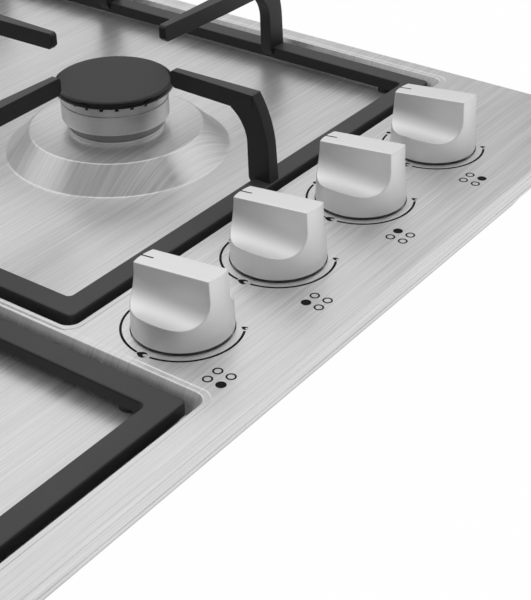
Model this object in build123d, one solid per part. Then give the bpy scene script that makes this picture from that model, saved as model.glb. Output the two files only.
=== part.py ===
"""Built-in four-burner gas cooktop, in millimetres.

The origin is the centre of the base tray's underside. X runs to the user's right, Y to the
back and Z up. The worktop's surface lies at the height tray_height.
"""
from build123d import *
from math import atan, cos, pi, radians, sin, tan
import os

os.makedirs("parts", exist_ok=True)

# ---------------------------------------------------------------- driving dimensions
# Top panel
panel_width = 590.0
panel_depth = 510.0
panel_corner = 5.0
sheet = 1.0
rim_height = 4.5
edge_radius = 2.0
side_margin = 14.0
front_margin = 17.5
back_margin = 17.5
ridge = 4.0
knob_strip = 69.0
recess_drop = 8.6
recess_slope = 5.0
recess_corner = 3.5
recess_fillet = 2.5

# Raised cone round each burner
cone_rise = 2.5
cone_top_margin = 16.0
cone_foot_margin = 27.9
cone_fillet = 1.5

# Base tray and its fasteners
tray_height = 48.0
tray_inset_x = 25.0
tray_inset_front = 23.0
tray_inset_back = 24.0
tray_corner = 6.0
tray_stud_radius = 2.0
tray_stud_inset = 34.0
tray_stud_back = 81.0
tray_dimple_radius = 8.0
tray_dimple_height = 4.0
stud_bottom = 0.8
nut_height = 3.0
nut_flats = 7.0
nut_clearance = 0.05
tray_hole_clearance = 0.3
tray_bevel_depth = 14.5
tray_bevel_height = 22.0
notch_size = 50.0
notch_height = 18.0

# Pan supports
support_gap = 6.5
bar_width = 10.5
bar_height = 6.0
bar_chamfer = 0.9
support_corner = 4.0
finger_height = 40.0
finger_thickness = 8.4
finger_width = 6.6
finger_tip_width = 4.0
finger_taper_length = 47.0
finger_cap_clearance = 8.0
tip_chamfer = 1.2
tip_undercut = 2.0
window_corner = 3.0
post_foot = 12.3
post_waist = 12.8
post_shoulder = 9.8
post_lean = 1.3
post_knee = 22.0
waist_height = 15.0
outer_bend_inset = 3.6
outer_bend_height = 27.0
inner_bend_inset = 15.0
inner_bend_height = 24.5
bridge_setback_left = 231.0
bridge_setback_right = 184.0
burner_setback_left = 123.0
burner_setback_right = 92.8
foot_radius = 4.0
foot_inset = 16.0

# Burners
rapid_radius = 47.0
semi_rapid_radius = 35.0
auxiliary_radius = 25.5
cap_overhang = 2.8
crown_seat = 5.6
crown_height = 15.2
crown_lower = 9.4
crown_wall = 3.0
crown_taper = 0.7
port_pitch = 7.3
port_width = 1.8
port_depth = 2.9
port_turn = -5.1
port_step = 0.2
cap_height = 2.6
cap_edge_rise = 1.6
cap_edge_run = 2.6
cap_boss = 1.8
cap_boss_wall = 2.0
cap_boss_clearance = 0.3
cap_hollow_floor = 0.2
cap_lip_drop = 0.6
cap_lip_clearance = 0.6
ring_inset = 3.15
cup_radius = 15.5
cup_bore = 12.5
cup_length = 33.0
cup_floor = 6.0
cup_window = 8.0
spigot_clearance = 0.5
spigot_length = 9.0
spigot_wall = 1.8
cup_hole_clearance = 0.3
cup_screw_radius = 1.5
cup_screw_head = 2.8
cup_screw_sink = 2.0
cup_screw_length = 11.0
cup_screw_angle = 105.0
cup_nut_height = 2.4
cup_nut_flats = 5.5
screw_clearance = 0.02
arm_width = 9.0
arm_thickness = 4.0
arm_drop = 11.0
electrode_radius = 2.5
electrode_above = 11.0
electrode_below = 3.0
pin_radius = 0.8
pin_length = 9.0
pin_seat = 6.0
thermocouple_radius = 1.8
thermocouple_above = 18.0
probe_hole_radius = 3.2
probe_gap = 1.3
electrode_angle = 15.0
thermocouple_angle = 57.0
lift_clearance = 0.05

# Injector
injector_radius = 4.0
injector_head = 6.0
injector_flats = 9.0
injector_clearance = 0.05
jet_radius = 0.5

# Knobs
knob_pitch = 61.6
knob_last_margin = 82.5
knob_row_margin = 53.8
knob_base_radius = 19.8
knob_top_radius = 18.75
knob_gap = 0.8
knob_height = 26.6
knob_slope = 6.16
grip_half = 5.8
scoop_radius = 9.2
scoop_height = 19.7
knob_wall = 2.3
knob_cavity = 8.0
hub_radius = 6.5
mark_length = 4.6
mark_width = 0.7
mark_depth = 0.4
mark_overrun = 0.4
dish_clearance = 0.3
dish_depth = 4.2
knob_travel = 3.0

# Taps
stem_radius = 3.95
stem_flat = 2.6
stem_clearance = 0.05
stem_insert = 16.0
stem_hole_radius = 5.5
tang_width = 7.0
tang_thickness = 2.6
tang_clearance = 0.1
collar_radius = 5.4
collar_height = 1.5
collar_gap = 0.1
tap_width = 24.0
tap_depth = 26.0
tap_height = 22.0
tap_floor = 2.5
tap_corner = 2.0
plug_top_radius = 6.3
plug_bottom_radius = 4.7
plug_clearance = 0.05
plug_gap = 0.5
plug_recess = 1.0
plug_port_radius = 1.5
plug_port_rise = 1.0
plug_port_length = 8.0
tang_end_gap = 1.0
tang_slot_floor = 2.0
bonnet_radius = 9.0
bonnet_bore = 6.6
bonnet_top = 1.8
bonnet_height = 8.3
bonnet_gap = 0.5
bonnet_clearance = 0.2
spring_wire = 0.4
spring_turns = 3.0
spring_gap = 0.1
magnet_radius = 5.0
magnet_length = 18.0
outlet_height = 5.0
tap_inlet_radius = 2.5
tap_inlet_depth = 8.5
tap_outlet_depth = 8.0

# Gas rail, pipes and inlet
rail_size = 14.0
rail_wall = 1.5
rail_end = 16.0
rail_overhang = 4.0
tap_screw_radius = 2.0
tap_screw_spread = 7.5
tap_screw_rise = 4.0
tap_screw_head = 3.4
tap_screw_head_height = 1.6
tap_screw_grip = 6.0
tap_screw_end_gap = 0.5
supply_radius = 6.0
supply_wall = 1.0
supply_margin = 45.0
supply_insert = 1.0
inlet_thread_radius = 10.48
inlet_thread_length = 14.0
inlet_neck_radius = 8.0
inlet_body_radius = 11.0
inlet_body_height = 18.0
inlet_bore = 4.5
pipe_radius = 3.0
pipe_wall = 0.8
pipe_level = 8.0
pipe_bend = 7.0
pipe_dive = 40.0
pipe_lane_gap = 22.0
union_flats = 13.0
union_length = 7.0

# Ignition and electrics
lead_radius = 1.0
lead_bend = 5.0
spark_lead_bend = 3.0
lead_lane_gap = 14.0
spark_lead_level = 31.5
switch_lead_level = 37.0
mains_lead_level = 12.0
module_size = (62.0, 42.0, 22.0)
module_place = (0.0, 30.0)
switch_size = (12.0, 8.0, 6.0)
switch_corner = 0.8
module_corner = 3.0
terminal_size = (42.0, 22.0, 18.0)
terminal_x = -60.0
terminal_hood = 8.0
terminal_relief = 0.5
grommet_radius = 7.0
grommet_flange = 9.5
grommet_flange_height = 2.0
grommet_clearance = 0.1
grommet_bore = 4.0
grommet_length = 9.0
grommet_height = 24.0

# Worktop fixing
seal_width = 9.0
seal_edge_gap = 2.0
worktop_thickness = 30.0
clamp_width = 20.0
clamp_plate = 1.5
clamp_reach = 20.0
clamp_rise = 26.0
clamp_y = 150.0
clamp_screw_radius = 2.0
clamp_screw_head = 4.0
clamp_screw_head_height = 2.4
clamp_screw_length = 8.0
clamp_screw_drop = 9.0
clamp_screw_clearance = 0.1

# ---------------------------------------------------------------- worked-out places
BASE = (Align.CENTER, Align.CENTER, Align.MIN)
TOP = (Align.CENTER, Align.CENTER, Align.MAX)

supply_x = panel_width / 2 - supply_margin
worktop_z = tray_height
panel_top = worktop_z + rim_height
floor_top = panel_top - recess_drop
floor_under = floor_top - sheet
cone_top = panel_top + cone_rise
cone_under = cone_top - sheet

recess_width = (panel_width - 2 * side_margin - ridge) / 2
recess_back = panel_depth / 2 - back_margin
recess_x = {"left": -(ridge + recess_width) / 2, "right": (ridge + recess_width) / 2}
recess_front = {
    "left": -panel_depth / 2 + front_margin,
    "right": -panel_depth / 2 + front_margin + knob_strip,
}
support_front = {side: y + support_gap for side, y in recess_front.items()}
support_back = recess_back - support_gap
support_width = recess_width - 2 * support_gap
setback = {"left": burner_setback_left, "right": burner_setback_right}
bridge_y = {
    "left": support_back - bridge_setback_left,
    "right": support_back - bridge_setback_right,
}

# Each burner's side, row and crown radius
burners = {
    "front_left": ("left", "front", rapid_radius),
    "back_left": ("left", "back", semi_rapid_radius),
    "back_right": ("right", "back", semi_rapid_radius),
    "front_right": ("right", "front", auxiliary_radius),
}

crown_bottom = cone_top + crown_seat
crown_top = crown_bottom + crown_height
cap_radius = {name: row[2] + cap_overhang for name, row in burners.items()}
cup_bottom = cone_top - cup_length
arm_top = cone_under - arm_drop

# Burner that each tap feeds, left to right
tap_burners = ("front_left", "back_left", "back_right", "front_right")
knob_y = -panel_depth / 2 + knob_row_margin
knob_last_x = panel_width / 2 - knob_last_margin
knob_x = [knob_last_x - knob_pitch * (3 - index) for index in range(4)]
knob_bottom = panel_top + knob_gap
dish_radius = knob_base_radius + dish_clearance
dish_floor = panel_top - dish_depth
dish_under = dish_floor - sheet

bonnet_z = dish_under - bonnet_gap
tap_top = bonnet_z - bonnet_height
tap_bottom = tap_top - tap_height
collar_top = bonnet_z - bonnet_top - collar_gap
plug_top = tap_top - plug_recess
plug_bottom = tap_bottom + tap_floor
tap_back = knob_y + tap_depth / 2
tap_front = knob_y - tap_depth / 2
outlet_z = tap_bottom + outlet_height
magnet_z = tap_bottom + tap_height / 2
rail_y = tap_front - rail_size / 2
rail_left = knob_x[0] - rail_end
rail_right = supply_x + supply_radius + rail_overhang

tray_left = -panel_width / 2 + tray_inset_x
tray_right = -tray_left
tray_front = -panel_depth / 2 + tray_inset_front
tray_back = panel_depth / 2 - tray_inset_back


def burner_place(name):
    """Plan position of a burner's axis."""
    side, row = burners[name][:2]
    if row == "front":
        return recess_x[side], support_front[side] + setback[side]
    return recess_x[side], support_back - setback[side]


def probe_place(name, angle):
    """Plan position of a burner's electrode or thermocouple, just outside its cap."""
    x, y = burner_place(name)
    reach = cap_radius[name] + probe_gap
    return x + reach * cos(radians(angle)), y + reach * sin(radians(angle))


def slab(left, right, front, back, low, high, corner=0.0):
    """Upright block between plan limits, with rounded corners if asked."""
    width, depth = right - left, back - front
    outline = RectangleRounded(width, depth, corner) if corner else Rectangle(width, depth)
    centre = Pos((left + right) / 2, (front + back) / 2, low)
    return extrude(centre * outline, high - low)


def disc(x, y, low, high, radius):
    """Upright cylinder between two heights."""
    return Pos(x, y, low) * Cylinder(radius, high - low, align=BASE)


def hexagon(x, y, low, high, flats):
    """Upright hexagonal prism."""
    return extrude(Pos(x, y, low) * RegularPolygon(flats / 2, 6, major_radius=False), high - low)


def at_height(shape, height):
    """Edges whose middle lies at one height."""
    return shape.edges().filter_by_position(Axis.Z, height - 0.01, height + 0.01)


def tube_path(points, bend):
    """Straight runs joined by arcs of one radius."""
    return FilletPolyline(*points, radius=bend)


def rod(points, radius, bend):
    """Round rod along a path."""
    path = tube_path(points, bend)
    section = Plane(origin=path @ 0, z_dir=path % 0) * Circle(radius)
    return sweep(section, path=path)


def pipe(points, radius, wall, bend):
    """Round pipe along a path."""
    return rod(points, radius, bend) - rod(points, radius - wall, bend)


def join(pieces):
    """Separate solids of one kind, kept as a group."""
    return Compound(children=[solid for piece in pieces for solid in piece.solids()])


# ---------------------------------------------------------------- top panel
def wall_offset(run, rise, thickness):
    """How far a sloping wall's foot moves sideways under a sheet of one thickness."""
    return thickness * tan(atan(rise / run) / 2)


def recess_pocket(side, shift):
    """Air space of a recess: a rounded floor widening up to the mouth."""
    grow = wall_offset(recess_slope, recess_drop, -shift)
    depth = recess_back - recess_front[side] + 2 * grow
    width = recess_width + 2 * grow
    middle = Pos(recess_x[side], (recess_back + recess_front[side]) / 2)
    floor = RectangleRounded(
        width - 2 * recess_slope, depth - 2 * recess_slope, recess_corner + grow
    )
    mouth = RectangleRounded(width, depth, recess_corner + recess_slope + grow)
    low = Pos(0, 0, floor_top + shift) * middle * floor
    high = Pos(0, 0, panel_top + shift) * middle * mouth
    return loft([low, high], ruled=True)


def burner_cone(name, shift):
    """Raised cone that carries a burner."""
    x, y = burner_place(name)
    crown = burners[name][2]
    height = cone_top - floor_top
    shrink = wall_offset(cone_foot_margin - cone_top_margin, height, -shift)
    foot, top = crown + cone_foot_margin - shrink, crown + cone_top_margin - shrink
    cone = Cone(foot, top, height, align=BASE)
    return Pos(x, y, floor_top + shift) * cone


def panel_form(inset, shift, rounded):
    """Solid bounded above by the panel's surface, moved down by shift."""
    half_x, half_y = panel_width / 2 - inset, panel_depth / 2 - inset
    corner = max(panel_corner - inset, 1.0)
    form = slab(-half_x, half_x, -half_y, half_y, shift, panel_top + shift, corner)
    for side in recess_x:
        form -= recess_pocket(side, shift)
    if rounded:
        form = fillet(at_height(form, panel_top), edge_radius)
    for name in burners:
        form += burner_cone(name, shift)
    if rounded:
        form = fillet(at_height(form, floor_top), recess_fillet)
        form = fillet(at_height(form, cone_top), cone_fillet)
    return form


def under_form():
    """Solid bounded above by the panel's underside."""
    form = panel_form(sheet, -sheet, False)
    for x in knob_x:
        form -= disc(x, knob_y, dish_under, panel_top, dish_radius + sheet)
    return form


def stud_places():
    """Plan positions of the studs that hold the tray."""
    xs = (tray_left + tray_stud_inset, tray_right - tray_stud_inset)
    ys = (recess_front["right"] + tray_stud_inset, tray_back - tray_stud_back)
    return [(x, y) for x in xs for y in ys]


def top_panel(under):
    """Pressed sheet with its folded rim, recesses, cones and knob dishes."""
    panel = panel_form(0.0, 0.0, True)
    for x in knob_x:
        panel -= disc(x, knob_y, dish_floor, panel_top + 1, dish_radius)
    panel -= under
    half_x, half_y = panel_width / 2, panel_depth / 2
    skirt = slab(-half_x - 1, half_x + 1, -half_y - 1, half_y + 1, -panel_top, worktop_z)
    inner = slab(
        -half_x + sheet, half_x - sheet, -half_y + sheet, half_y - sheet,
        -panel_top, worktop_z, panel_corner - sheet,
    )
    panel -= skirt - inner
    for name in burners:
        x, y = burner_place(name)
        panel -= disc(x, y, cone_under - 1, cone_top + 1, cup_radius + cup_hole_clearance)
        for angle in (electrode_angle, thermocouple_angle):
            px, py = probe_place(name, angle)
            panel -= disc(px, py, cone_under - 1, cone_top + 1, probe_hole_radius)
    for x in knob_x:
        panel -= disc(x, knob_y, dish_under - 1, dish_floor + 1, stem_hole_radius)
    for x, y in cup_screw_places():
        panel -= disc(x, y, cone_under - 1, cone_top + 1, cup_screw_radius + screw_clearance)
    return panel


def cup_screw_places():
    """Plan positions of the two screws of each burner cup."""
    places = []
    for name in burners:
        x, y = burner_place(name)
        reach = (cup_radius + burners[name][2] - ring_inset) / 2
        for turn in (cup_screw_angle, cup_screw_angle + 180):
            px, py = x + reach * cos(radians(turn)), y + reach * sin(radians(turn))
            places.append((px, py))
    return places


def worktop_seal():
    """Foam strip between the rim and the worktop."""
    half_x = panel_width / 2 - sheet - seal_edge_gap
    half_y = panel_depth / 2 - sheet - seal_edge_gap
    low, high = worktop_z, panel_top - sheet
    strip = slab(-half_x, half_x, -half_y, half_y, low, high, panel_corner)
    in_x, in_y = half_x - seal_width, half_y - seal_width
    return strip - slab(-in_x, in_x, -in_y, in_y, low - 1, high + 1, panel_corner)


# ---------------------------------------------------------------- base tray
def tray_block(wall):
    """Outside of the tray for wall 0, or its inside for the sheet's thickness."""
    block = slab(
        tray_left + wall, tray_right - wall, tray_front + wall, tray_back - wall,
        wall, panel_top, tray_corner,
    )
    edge = tray_front + wall
    bevel = Plane.YZ * Polygon(
        (edge, tray_bevel_height + wall), (edge, wall), (edge + tray_bevel_depth, wall),
        align=None,
    )
    block -= extrude(bevel, tray_right, both=True)
    block -= slab(
        tray_right - notch_size - wall, tray_right + 1, tray_back - notch_size - wall,
        tray_back + 1, -1, notch_height + wall,
    )
    for x, y in stud_places():
        block -= disc(x, y, -1, tray_dimple_height + wall, tray_dimple_radius + wall)
    return block


def inlet_place():
    """Plan position of the gas inlet."""
    return supply_x, tray_back - notch_size / 2


def base_tray(under):
    """Steel tray that closes the works from below and meets the panel's underside."""
    tray = (tray_block(0.0) - tray_block(sheet)) & under
    hole_radius = tray_stud_radius + tray_hole_clearance
    for x, y in stud_places():
        tray -= disc(x, y, -1, tray_dimple_height + sheet + 1, hole_radius)
    x, y = inlet_place()
    neck_hole = inlet_neck_radius + tray_hole_clearance
    tray -= disc(x, y, notch_height - 1, notch_height + sheet + 1, neck_hole)
    hole = Pos(terminal_x, tray_back, grommet_height) * Rot(90, 0, 0)
    tray -= hole * Cylinder(grommet_radius + grommet_clearance, 4 * sheet)
    for sign in (-1, 1):
        for y in (-clamp_y, clamp_y):
            place = Pos(sign * tray_right, y, clamp_screw_z()) * Rot(0, 90, 0)
            tray -= place * Cylinder(clamp_screw_radius + clamp_screw_clearance, 4 * sheet)
    return tray


def tray_fixings():
    """Studs under the panel and the nuts on them, inside the tray's dimples."""
    pieces = []
    for x, y in stud_places():
        pieces.append(disc(x, y, stud_bottom, floor_under, tray_stud_radius))
        nut = hexagon(x, y, tray_dimple_height - nut_height, tray_dimple_height, nut_flats)
        hole = tray_stud_radius + nut_clearance
        pieces.append(nut - disc(x, y, 0, tray_dimple_height + 1, hole))
    return join(pieces)


# ---------------------------------------------------------------- pan supports
def finger_outline(tip, reach):
    """Side view of a post and its finger, with x as the distance from the burner's axis."""
    top = panel_top + finger_height
    low = panel_top - bar_height
    under = top - finger_thickness
    waist = panel_top + waist_height
    outer_bend = (reach - outer_bend_inset, panel_top + outer_bend_height)
    inner_bend = (reach - inner_bend_inset, panel_top + inner_bend_height)
    with BuildSketch(Plane.XZ) as outline:
        with BuildLine():
            Polyline(
                (reach - post_shoulder, top), (tip + tip_chamfer, top),
                (tip, top - tip_chamfer), (tip, under + tip_undercut),
                (tip + tip_undercut, under), (reach - post_knee, under),
            )
            ThreePointArc((reach - post_knee, under), inner_bend, (reach - post_waist, waist))
            Polyline(
                (reach - post_waist, waist), (reach - post_foot, panel_top),
                (reach - bar_width, low), (reach, low), (reach, panel_top),
                (reach - post_lean, waist),
            )
            ThreePointArc((reach - post_lean, waist), outer_bend, (reach - post_shoulder, top))
        make_face()
    return outline.sketch


def finger(tip, reach):
    """Post and finger pointing back to the burner's axis from distance reach."""
    body = extrude(finger_outline(tip, reach), finger_width / 2, both=True)
    taper = Polygon(
        (tip, -finger_tip_width / 2), (tip + finger_taper_length, -finger_width / 2),
        (reach, -finger_width / 2), (reach, finger_width / 2),
        (tip + finger_taper_length, finger_width / 2), (tip, finger_tip_width / 2),
        align=None,
    )
    wedge = extrude(Pos(0, 0, panel_top - bar_height) * taper, finger_height + bar_height)
    return body & wedge


def shared_finger(x, front_tip, back_tip):
    """Finger that points to both burners of a support, level from tip to tip."""
    top = panel_top + finger_height
    under = top - finger_thickness
    outline = Plane.YZ.offset(x) * Polygon(
        (front_tip + tip_chamfer, top), (front_tip, top - tip_chamfer),
        (front_tip, under + tip_undercut), (front_tip + tip_undercut, under),
        (back_tip - tip_undercut, under), (back_tip, under + tip_undercut),
        (back_tip, top - tip_chamfer), (back_tip - tip_chamfer, top),
        align=None,
    )
    half, tip_half = finger_width / 2, finger_tip_width / 2
    taper = Polygon(
        (x + tip_half, front_tip), (x + half, front_tip + finger_taper_length),
        (x + half, back_tip - finger_taper_length), (x + tip_half, back_tip),
        (x - tip_half, back_tip), (x - half, back_tip - finger_taper_length),
        (x - half, front_tip + finger_taper_length), (x - tip_half, front_tip),
        align=None,
    )
    wedge = extrude(Pos(0, 0, under - 1) * taper, finger_thickness + 2)
    return extrude(outline, half, both=True) & wedge


def bridge(side):
    """Beam at the fingers' height, from a post on one side bar to a post on the other."""
    half = finger_width / 2
    beam = extrude(finger_outline(-half / 2, support_width / 2), half, both=True)
    place = Pos(recess_x[side], bridge_y[side])
    return place * beam + place * Rot(0, 0, 180) * beam


def support_frame(side):
    """Flat frame of a pan support."""
    left = recess_x[side] - support_width / 2
    right = recess_x[side] + support_width / 2
    front, back = support_front[side], support_back
    low = panel_top - bar_height
    frame = slab(left, right, front, back, low, panel_top, support_corner)
    frame -= slab(
        left + bar_width, right - bar_width, front + bar_width, back - bar_width,
        low - 1, panel_top + 1, window_corner,
    )
    return chamfer(at_height(frame, panel_top), bar_chamfer)


def pan_support(side):
    """Cast-iron pan support: frame, posts, fingers and the bridge between the burners."""
    front_name, back_name = "front_" + side, "back_" + side
    support = support_frame(side) + bridge(side)
    side_reach = support_width / 2
    tips = []
    for name in (front_name, back_name):
        x, y = burner_place(name)
        tip = cap_radius[name] + finger_cap_clearance
        end_turn = -90 if name == front_name else 90
        tips.append(y - tip * end_turn / 90)
        for turn, reach in ((0, side_reach), (180, side_reach), (end_turn, setback[side])):
            support += Pos(x, y) * Rot(0, 0, turn) * finger(tip, reach)
    return support + shared_finger(recess_x[side], *tips)


def support_feet(side):
    """Rubber feet between a support's frame and the recess floor."""
    half = support_width / 2 - bar_width / 2
    ends = (support_front[side] + bar_width / 2, support_back - bar_width / 2)
    near, far = ends[0] + foot_inset, ends[1] - foot_inset
    places = [(recess_x[side] + sign * half, y) for sign in (-1, 1) for y in (near, far)]
    places += [(recess_x[side] + sign * (half - foot_inset), y) for sign in (-1, 1) for y in ends]
    low, high = floor_top, panel_top - bar_height
    return join([disc(x, y, low, high, foot_radius) for x, y in places])


# ---------------------------------------------------------------- burners
def burner_crown(name):
    """Aluminium flame spreader with its ports and the spigot that enters the cup."""
    radius = burners[name][2]
    ports = round(2 * pi * radius / port_pitch)
    x, y = burner_place(name)
    split = crown_bottom + crown_lower
    crown = disc(0, 0, crown_bottom, split, radius)
    upper = Cone(radius - port_step, radius - crown_taper, crown_top - split, align=BASE)
    crown += Pos(0, 0, split) * upper
    crown -= disc(0, 0, crown_bottom + crown_wall, crown_top + 1, radius - crown_wall)
    spigot = cup_bore - spigot_clearance
    crown += disc(0, 0, crown_bottom - spigot_length, crown_bottom + crown_wall, spigot)
    crown -= disc(0, 0, crown_bottom - spigot_length - 1, crown_top, spigot - spigot_wall)
    slot = Box(2 * crown_wall + 4, port_width, port_depth + 1, align=BASE)
    for index in range(ports):
        turn = Rot(0, 0, 360 / ports * index + port_turn)
        crown -= turn * Pos(radius - crown_wall / 2, 0, crown_top - port_depth) * slot
    return Pos(x, y) * crown


def burner_cap(name):
    """Enamelled cap with a rounded rim, a drip lip and a boss that centres it in the crown."""
    x, y = burner_place(name)
    radius = cap_radius[name]
    cap = Pos(0, 0, crown_top) * Cylinder(radius, cap_height, align=BASE)
    cap = chamfer(at_height(cap, crown_top + cap_height), cap_edge_rise, cap_edge_run)
    lip = disc(0, 0, crown_top - cap_lip_drop, crown_top, radius)
    inner = burners[name][2] + cap_lip_clearance
    cap += lip - disc(0, 0, crown_top - 1 - cap_lip_drop, crown_top, inner)
    boss = burners[name][2] - crown_wall - cap_boss_clearance
    cap += disc(0, 0, crown_top - cap_boss, crown_top, boss)
    hollow_top = crown_top - cap_hollow_floor
    cap -= disc(0, 0, crown_top - cap_boss - 1, hollow_top, boss - cap_boss_wall)
    return Pos(x, y) * cap


def cup_arm(name, angle, hole):
    """Arm of the cup that carries an electrode or a thermocouple under the panel."""
    x, y = burner_place(name)
    reach = cap_radius[name] + probe_gap
    arm = slab(0, reach, -arm_width / 2, arm_width / 2, arm_top - arm_thickness, arm_top)
    arm += disc(reach, 0, arm_top - arm_thickness, arm_top, arm_width / 2)
    arm -= disc(reach, 0, 0, arm_top + 1, hole)
    return Pos(x, y) * Rot(0, 0, angle) * arm


def burner_cup(name):
    """Cup that hangs in the panel by its top ring and holds the injector."""
    x, y = burner_place(name)
    ring = burners[name][2] - ring_inset
    cup = disc(x, y, cone_top, crown_bottom, ring)
    cup += disc(x, y, cup_bottom, cone_top, cup_radius)
    cup += cup_arm(name, electrode_angle, electrode_radius + lift_clearance)
    cup += cup_arm(name, thermocouple_angle, thermocouple_radius + lift_clearance)
    cup -= disc(x, y, cup_bottom + cup_floor, crown_bottom + 1, cup_bore)
    seat = injector_radius + injector_clearance
    cup -= disc(x, y, cup_bottom - 1, cup_bottom + cup_floor + 1, seat)
    window = Box(cup_window, 3 * cup_radius, cup_window, align=BASE)
    cup -= Pos(x, y, cup_bottom + cup_floor + 1) * window
    for place in cup_screw_places():
        cup -= Pos(*place, crown_bottom) * cup_screw(screw_clearance)
    return cup


def cup_screw(grow):
    """Countersunk screw hanging from its head's face, or the hole for it."""
    radius = cup_screw_radius + grow
    shaft = disc(0, 0, -cup_screw_length, 0, radius)
    return shaft + Cone(radius, cup_screw_head + grow, cup_screw_sink, align=TOP)


def cup_fixings():
    """Screws that hold the cups to the panel, and the nuts on them."""
    pieces = []
    for x, y in cup_screw_places():
        pieces.append(Pos(x, y, crown_bottom) * cup_screw(0.0))
        nut = hexagon(x, y, cone_under - cup_nut_height, cone_under, cup_nut_flats)
        pieces.append(nut - disc(x, y, 0, panel_top, cup_screw_radius + screw_clearance))
    return join(pieces)


def injectors():
    """Brass jets screwed into the cups' floors."""
    jets = []
    for name in burners:
        x, y = burner_place(name)
        seat = cup_bottom + cup_floor
        jet = disc(x, y, cup_bottom, seat, injector_radius)
        jet += hexagon(x, y, seat, seat + injector_head, injector_flats)
        jets.append(jet - disc(x, y, cup_bottom - 1, seat + injector_head + 1, jet_radius))
    return join(jets)


def spark_electrodes():
    """Ceramic bodies and the steel pins that stand in them."""
    pieces = []
    for name in burners:
        x, y = probe_place(name, electrode_angle)
        low = arm_top - arm_thickness - electrode_below
        high = cone_top + electrode_above
        body = disc(x, y, low, high, electrode_radius)
        body -= disc(x, y, high - pin_seat, high + 1, pin_radius)
        pieces.append(body)
        pieces.append(disc(x, y, high - pin_seat, high + pin_length, pin_radius))
    return join(pieces)


# ---------------------------------------------------------------- knobs and taps
def control_knob(x):
    """Tapered knob whose sides are scooped away to leave a grip with a sloping top."""
    drop = knob_base_radius - knob_top_radius
    tall = knob_height + knob_top_radius / 3
    top_radius = knob_base_radius - drop * tall / knob_height
    knob = Cone(knob_base_radius, top_radius, tall, align=BASE)
    wide = 4 * knob_base_radius
    lid = Box(wide, wide, knob_height, align=BASE)
    knob -= Pos(0, 0, knob_height - knob_gap) * Rot(-knob_slope, 0, 0) * lid
    centre = grip_half + scoop_radius
    lift = scoop_height - knob_gap
    for sign in (-1, 1):
        knob -= Pos(sign * centre, 0, lift) * Rot(90, 0, 0) * Cylinder(scoop_radius, wide)
        cut = Box(wide / 2, wide, knob_height, align=BASE)
        knob -= Pos(sign * (grip_half + wide / 4), 0, lift) * cut
    knob -= disc(0, 0, -1, knob_cavity, knob_base_radius - knob_wall)
    knob += disc(0, 0, 0, knob_cavity + 1, hub_radius)
    mark = Box(mark_width, mark_length, 2 * mark_depth)
    mark_y = knob_top_radius - mark_length / 2 + mark_overrun
    slope = Pos(0, 0, knob_height - knob_gap) * Rot(-knob_slope, 0, 0)
    knob -= slope * Pos(0, mark_y, 0) * mark
    knob = Pos(x, knob_y, knob_bottom) * knob
    return knob - stem_shank(x, stem_clearance)


def stem_shank(x, grow):
    """Upper part of a stem, with the flat that turns it with the knob."""
    high = knob_bottom + stem_insert + grow
    shank = disc(x, knob_y, collar_top, high, stem_radius + grow)
    edge = knob_y - stem_flat - grow
    cut = slab(x - 8, x + 8, edge - 8, edge, knob_bottom - knob_travel, high + 1)
    return shank - cut


def tang(x, grow):
    """Flat tang that turns the plug."""
    low = plug_bottom + tang_slot_floor + knob_travel + tang_end_gap
    half_x, half_y = tang_width / 2 + grow, tang_thickness / 2 + grow
    if grow:
        low = plug_bottom + tang_slot_floor
    return slab(x - half_x, x + half_x, knob_y - half_y, knob_y + half_y, low, collar_top)


def tap_stem(x):
    """Stem with its collar and tang."""
    stem = stem_shank(x, 0.0)
    stem += disc(x, knob_y, collar_top - collar_height, collar_top, collar_radius)
    return stem + tang(x, 0.0)


def plug_cone(x, grow):
    """Cone of the plug, or the seat for it."""
    height = plug_top - plug_bottom
    cone = Cone(plug_bottom_radius + grow, plug_top_radius + grow, height, align=BASE)
    return Pos(x, knob_y, plug_bottom) * cone


def tap_plug(x):
    """Conical plug with its gas port and the slot for the tang."""
    plug = plug_cone(x, 0.0) - tang(x, tang_clearance)
    port = Pos(x, knob_y - plug_port_length / 2, outlet_z + plug_port_rise) * Rot(90, 0, 0)
    return plug - port * Cylinder(plug_port_radius, plug_port_length)


def tap_body(x):
    """Brass tap body between the rail and the feed pipe."""
    half = tap_width / 2
    body = slab(x - half, x + half, tap_front, tap_back, tap_bottom, tap_top, tap_corner)
    body -= plug_cone(x, plug_clearance)
    body -= disc(x, knob_y, plug_top, tap_top + 1, plug_top_radius + plug_gap)
    inlet = Pos(x, tap_front, magnet_z) * Rot(90, 0, 0)
    body -= inlet * Cylinder(tap_inlet_radius, 2 * tap_inlet_depth)
    outlet = Pos(x, tap_back, outlet_z) * Rot(90, 0, 0)
    body -= outlet * Cylinder(pipe_radius + screw_clearance, 2 * tap_outlet_depth)
    for side in (-1, 1):
        place = Pos(x + side * tap_screw_spread, tap_front, magnet_z + tap_screw_rise) * Rot(90, 0, 0)
        body -= place * Cylinder(tap_screw_radius + screw_clearance, 2 * tap_screw_grip)
    return body


def tap_bonnets():
    """Covers that keep the plugs, springs and stem collars in the taps."""
    bonnets = []
    for x in knob_x:
        bonnet = disc(x, knob_y, tap_top, bonnet_z, bonnet_radius)
        bonnet -= disc(x, knob_y, tap_top - 1, bonnet_z - bonnet_top, bonnet_bore)
        bonnet -= disc(x, knob_y, tap_top, bonnet_z + 1, stem_radius + bonnet_clearance)
        bonnets.append(bonnet)
    return join(bonnets)


def stem_spring(x):
    """Coil spring between the plug and the stem's collar."""
    low = plug_top + spring_wire + spring_gap
    high = collar_top - collar_height - spring_wire - spring_gap
    height = high - low
    coil = collar_radius - spring_wire
    path = Helix(height / spring_turns, height, coil)
    section = Plane(origin=path @ 0, z_dir=path % 0) * Circle(spring_wire)
    return Pos(x, knob_y, low) * sweep(section, path=path, is_frenet=True)


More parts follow.
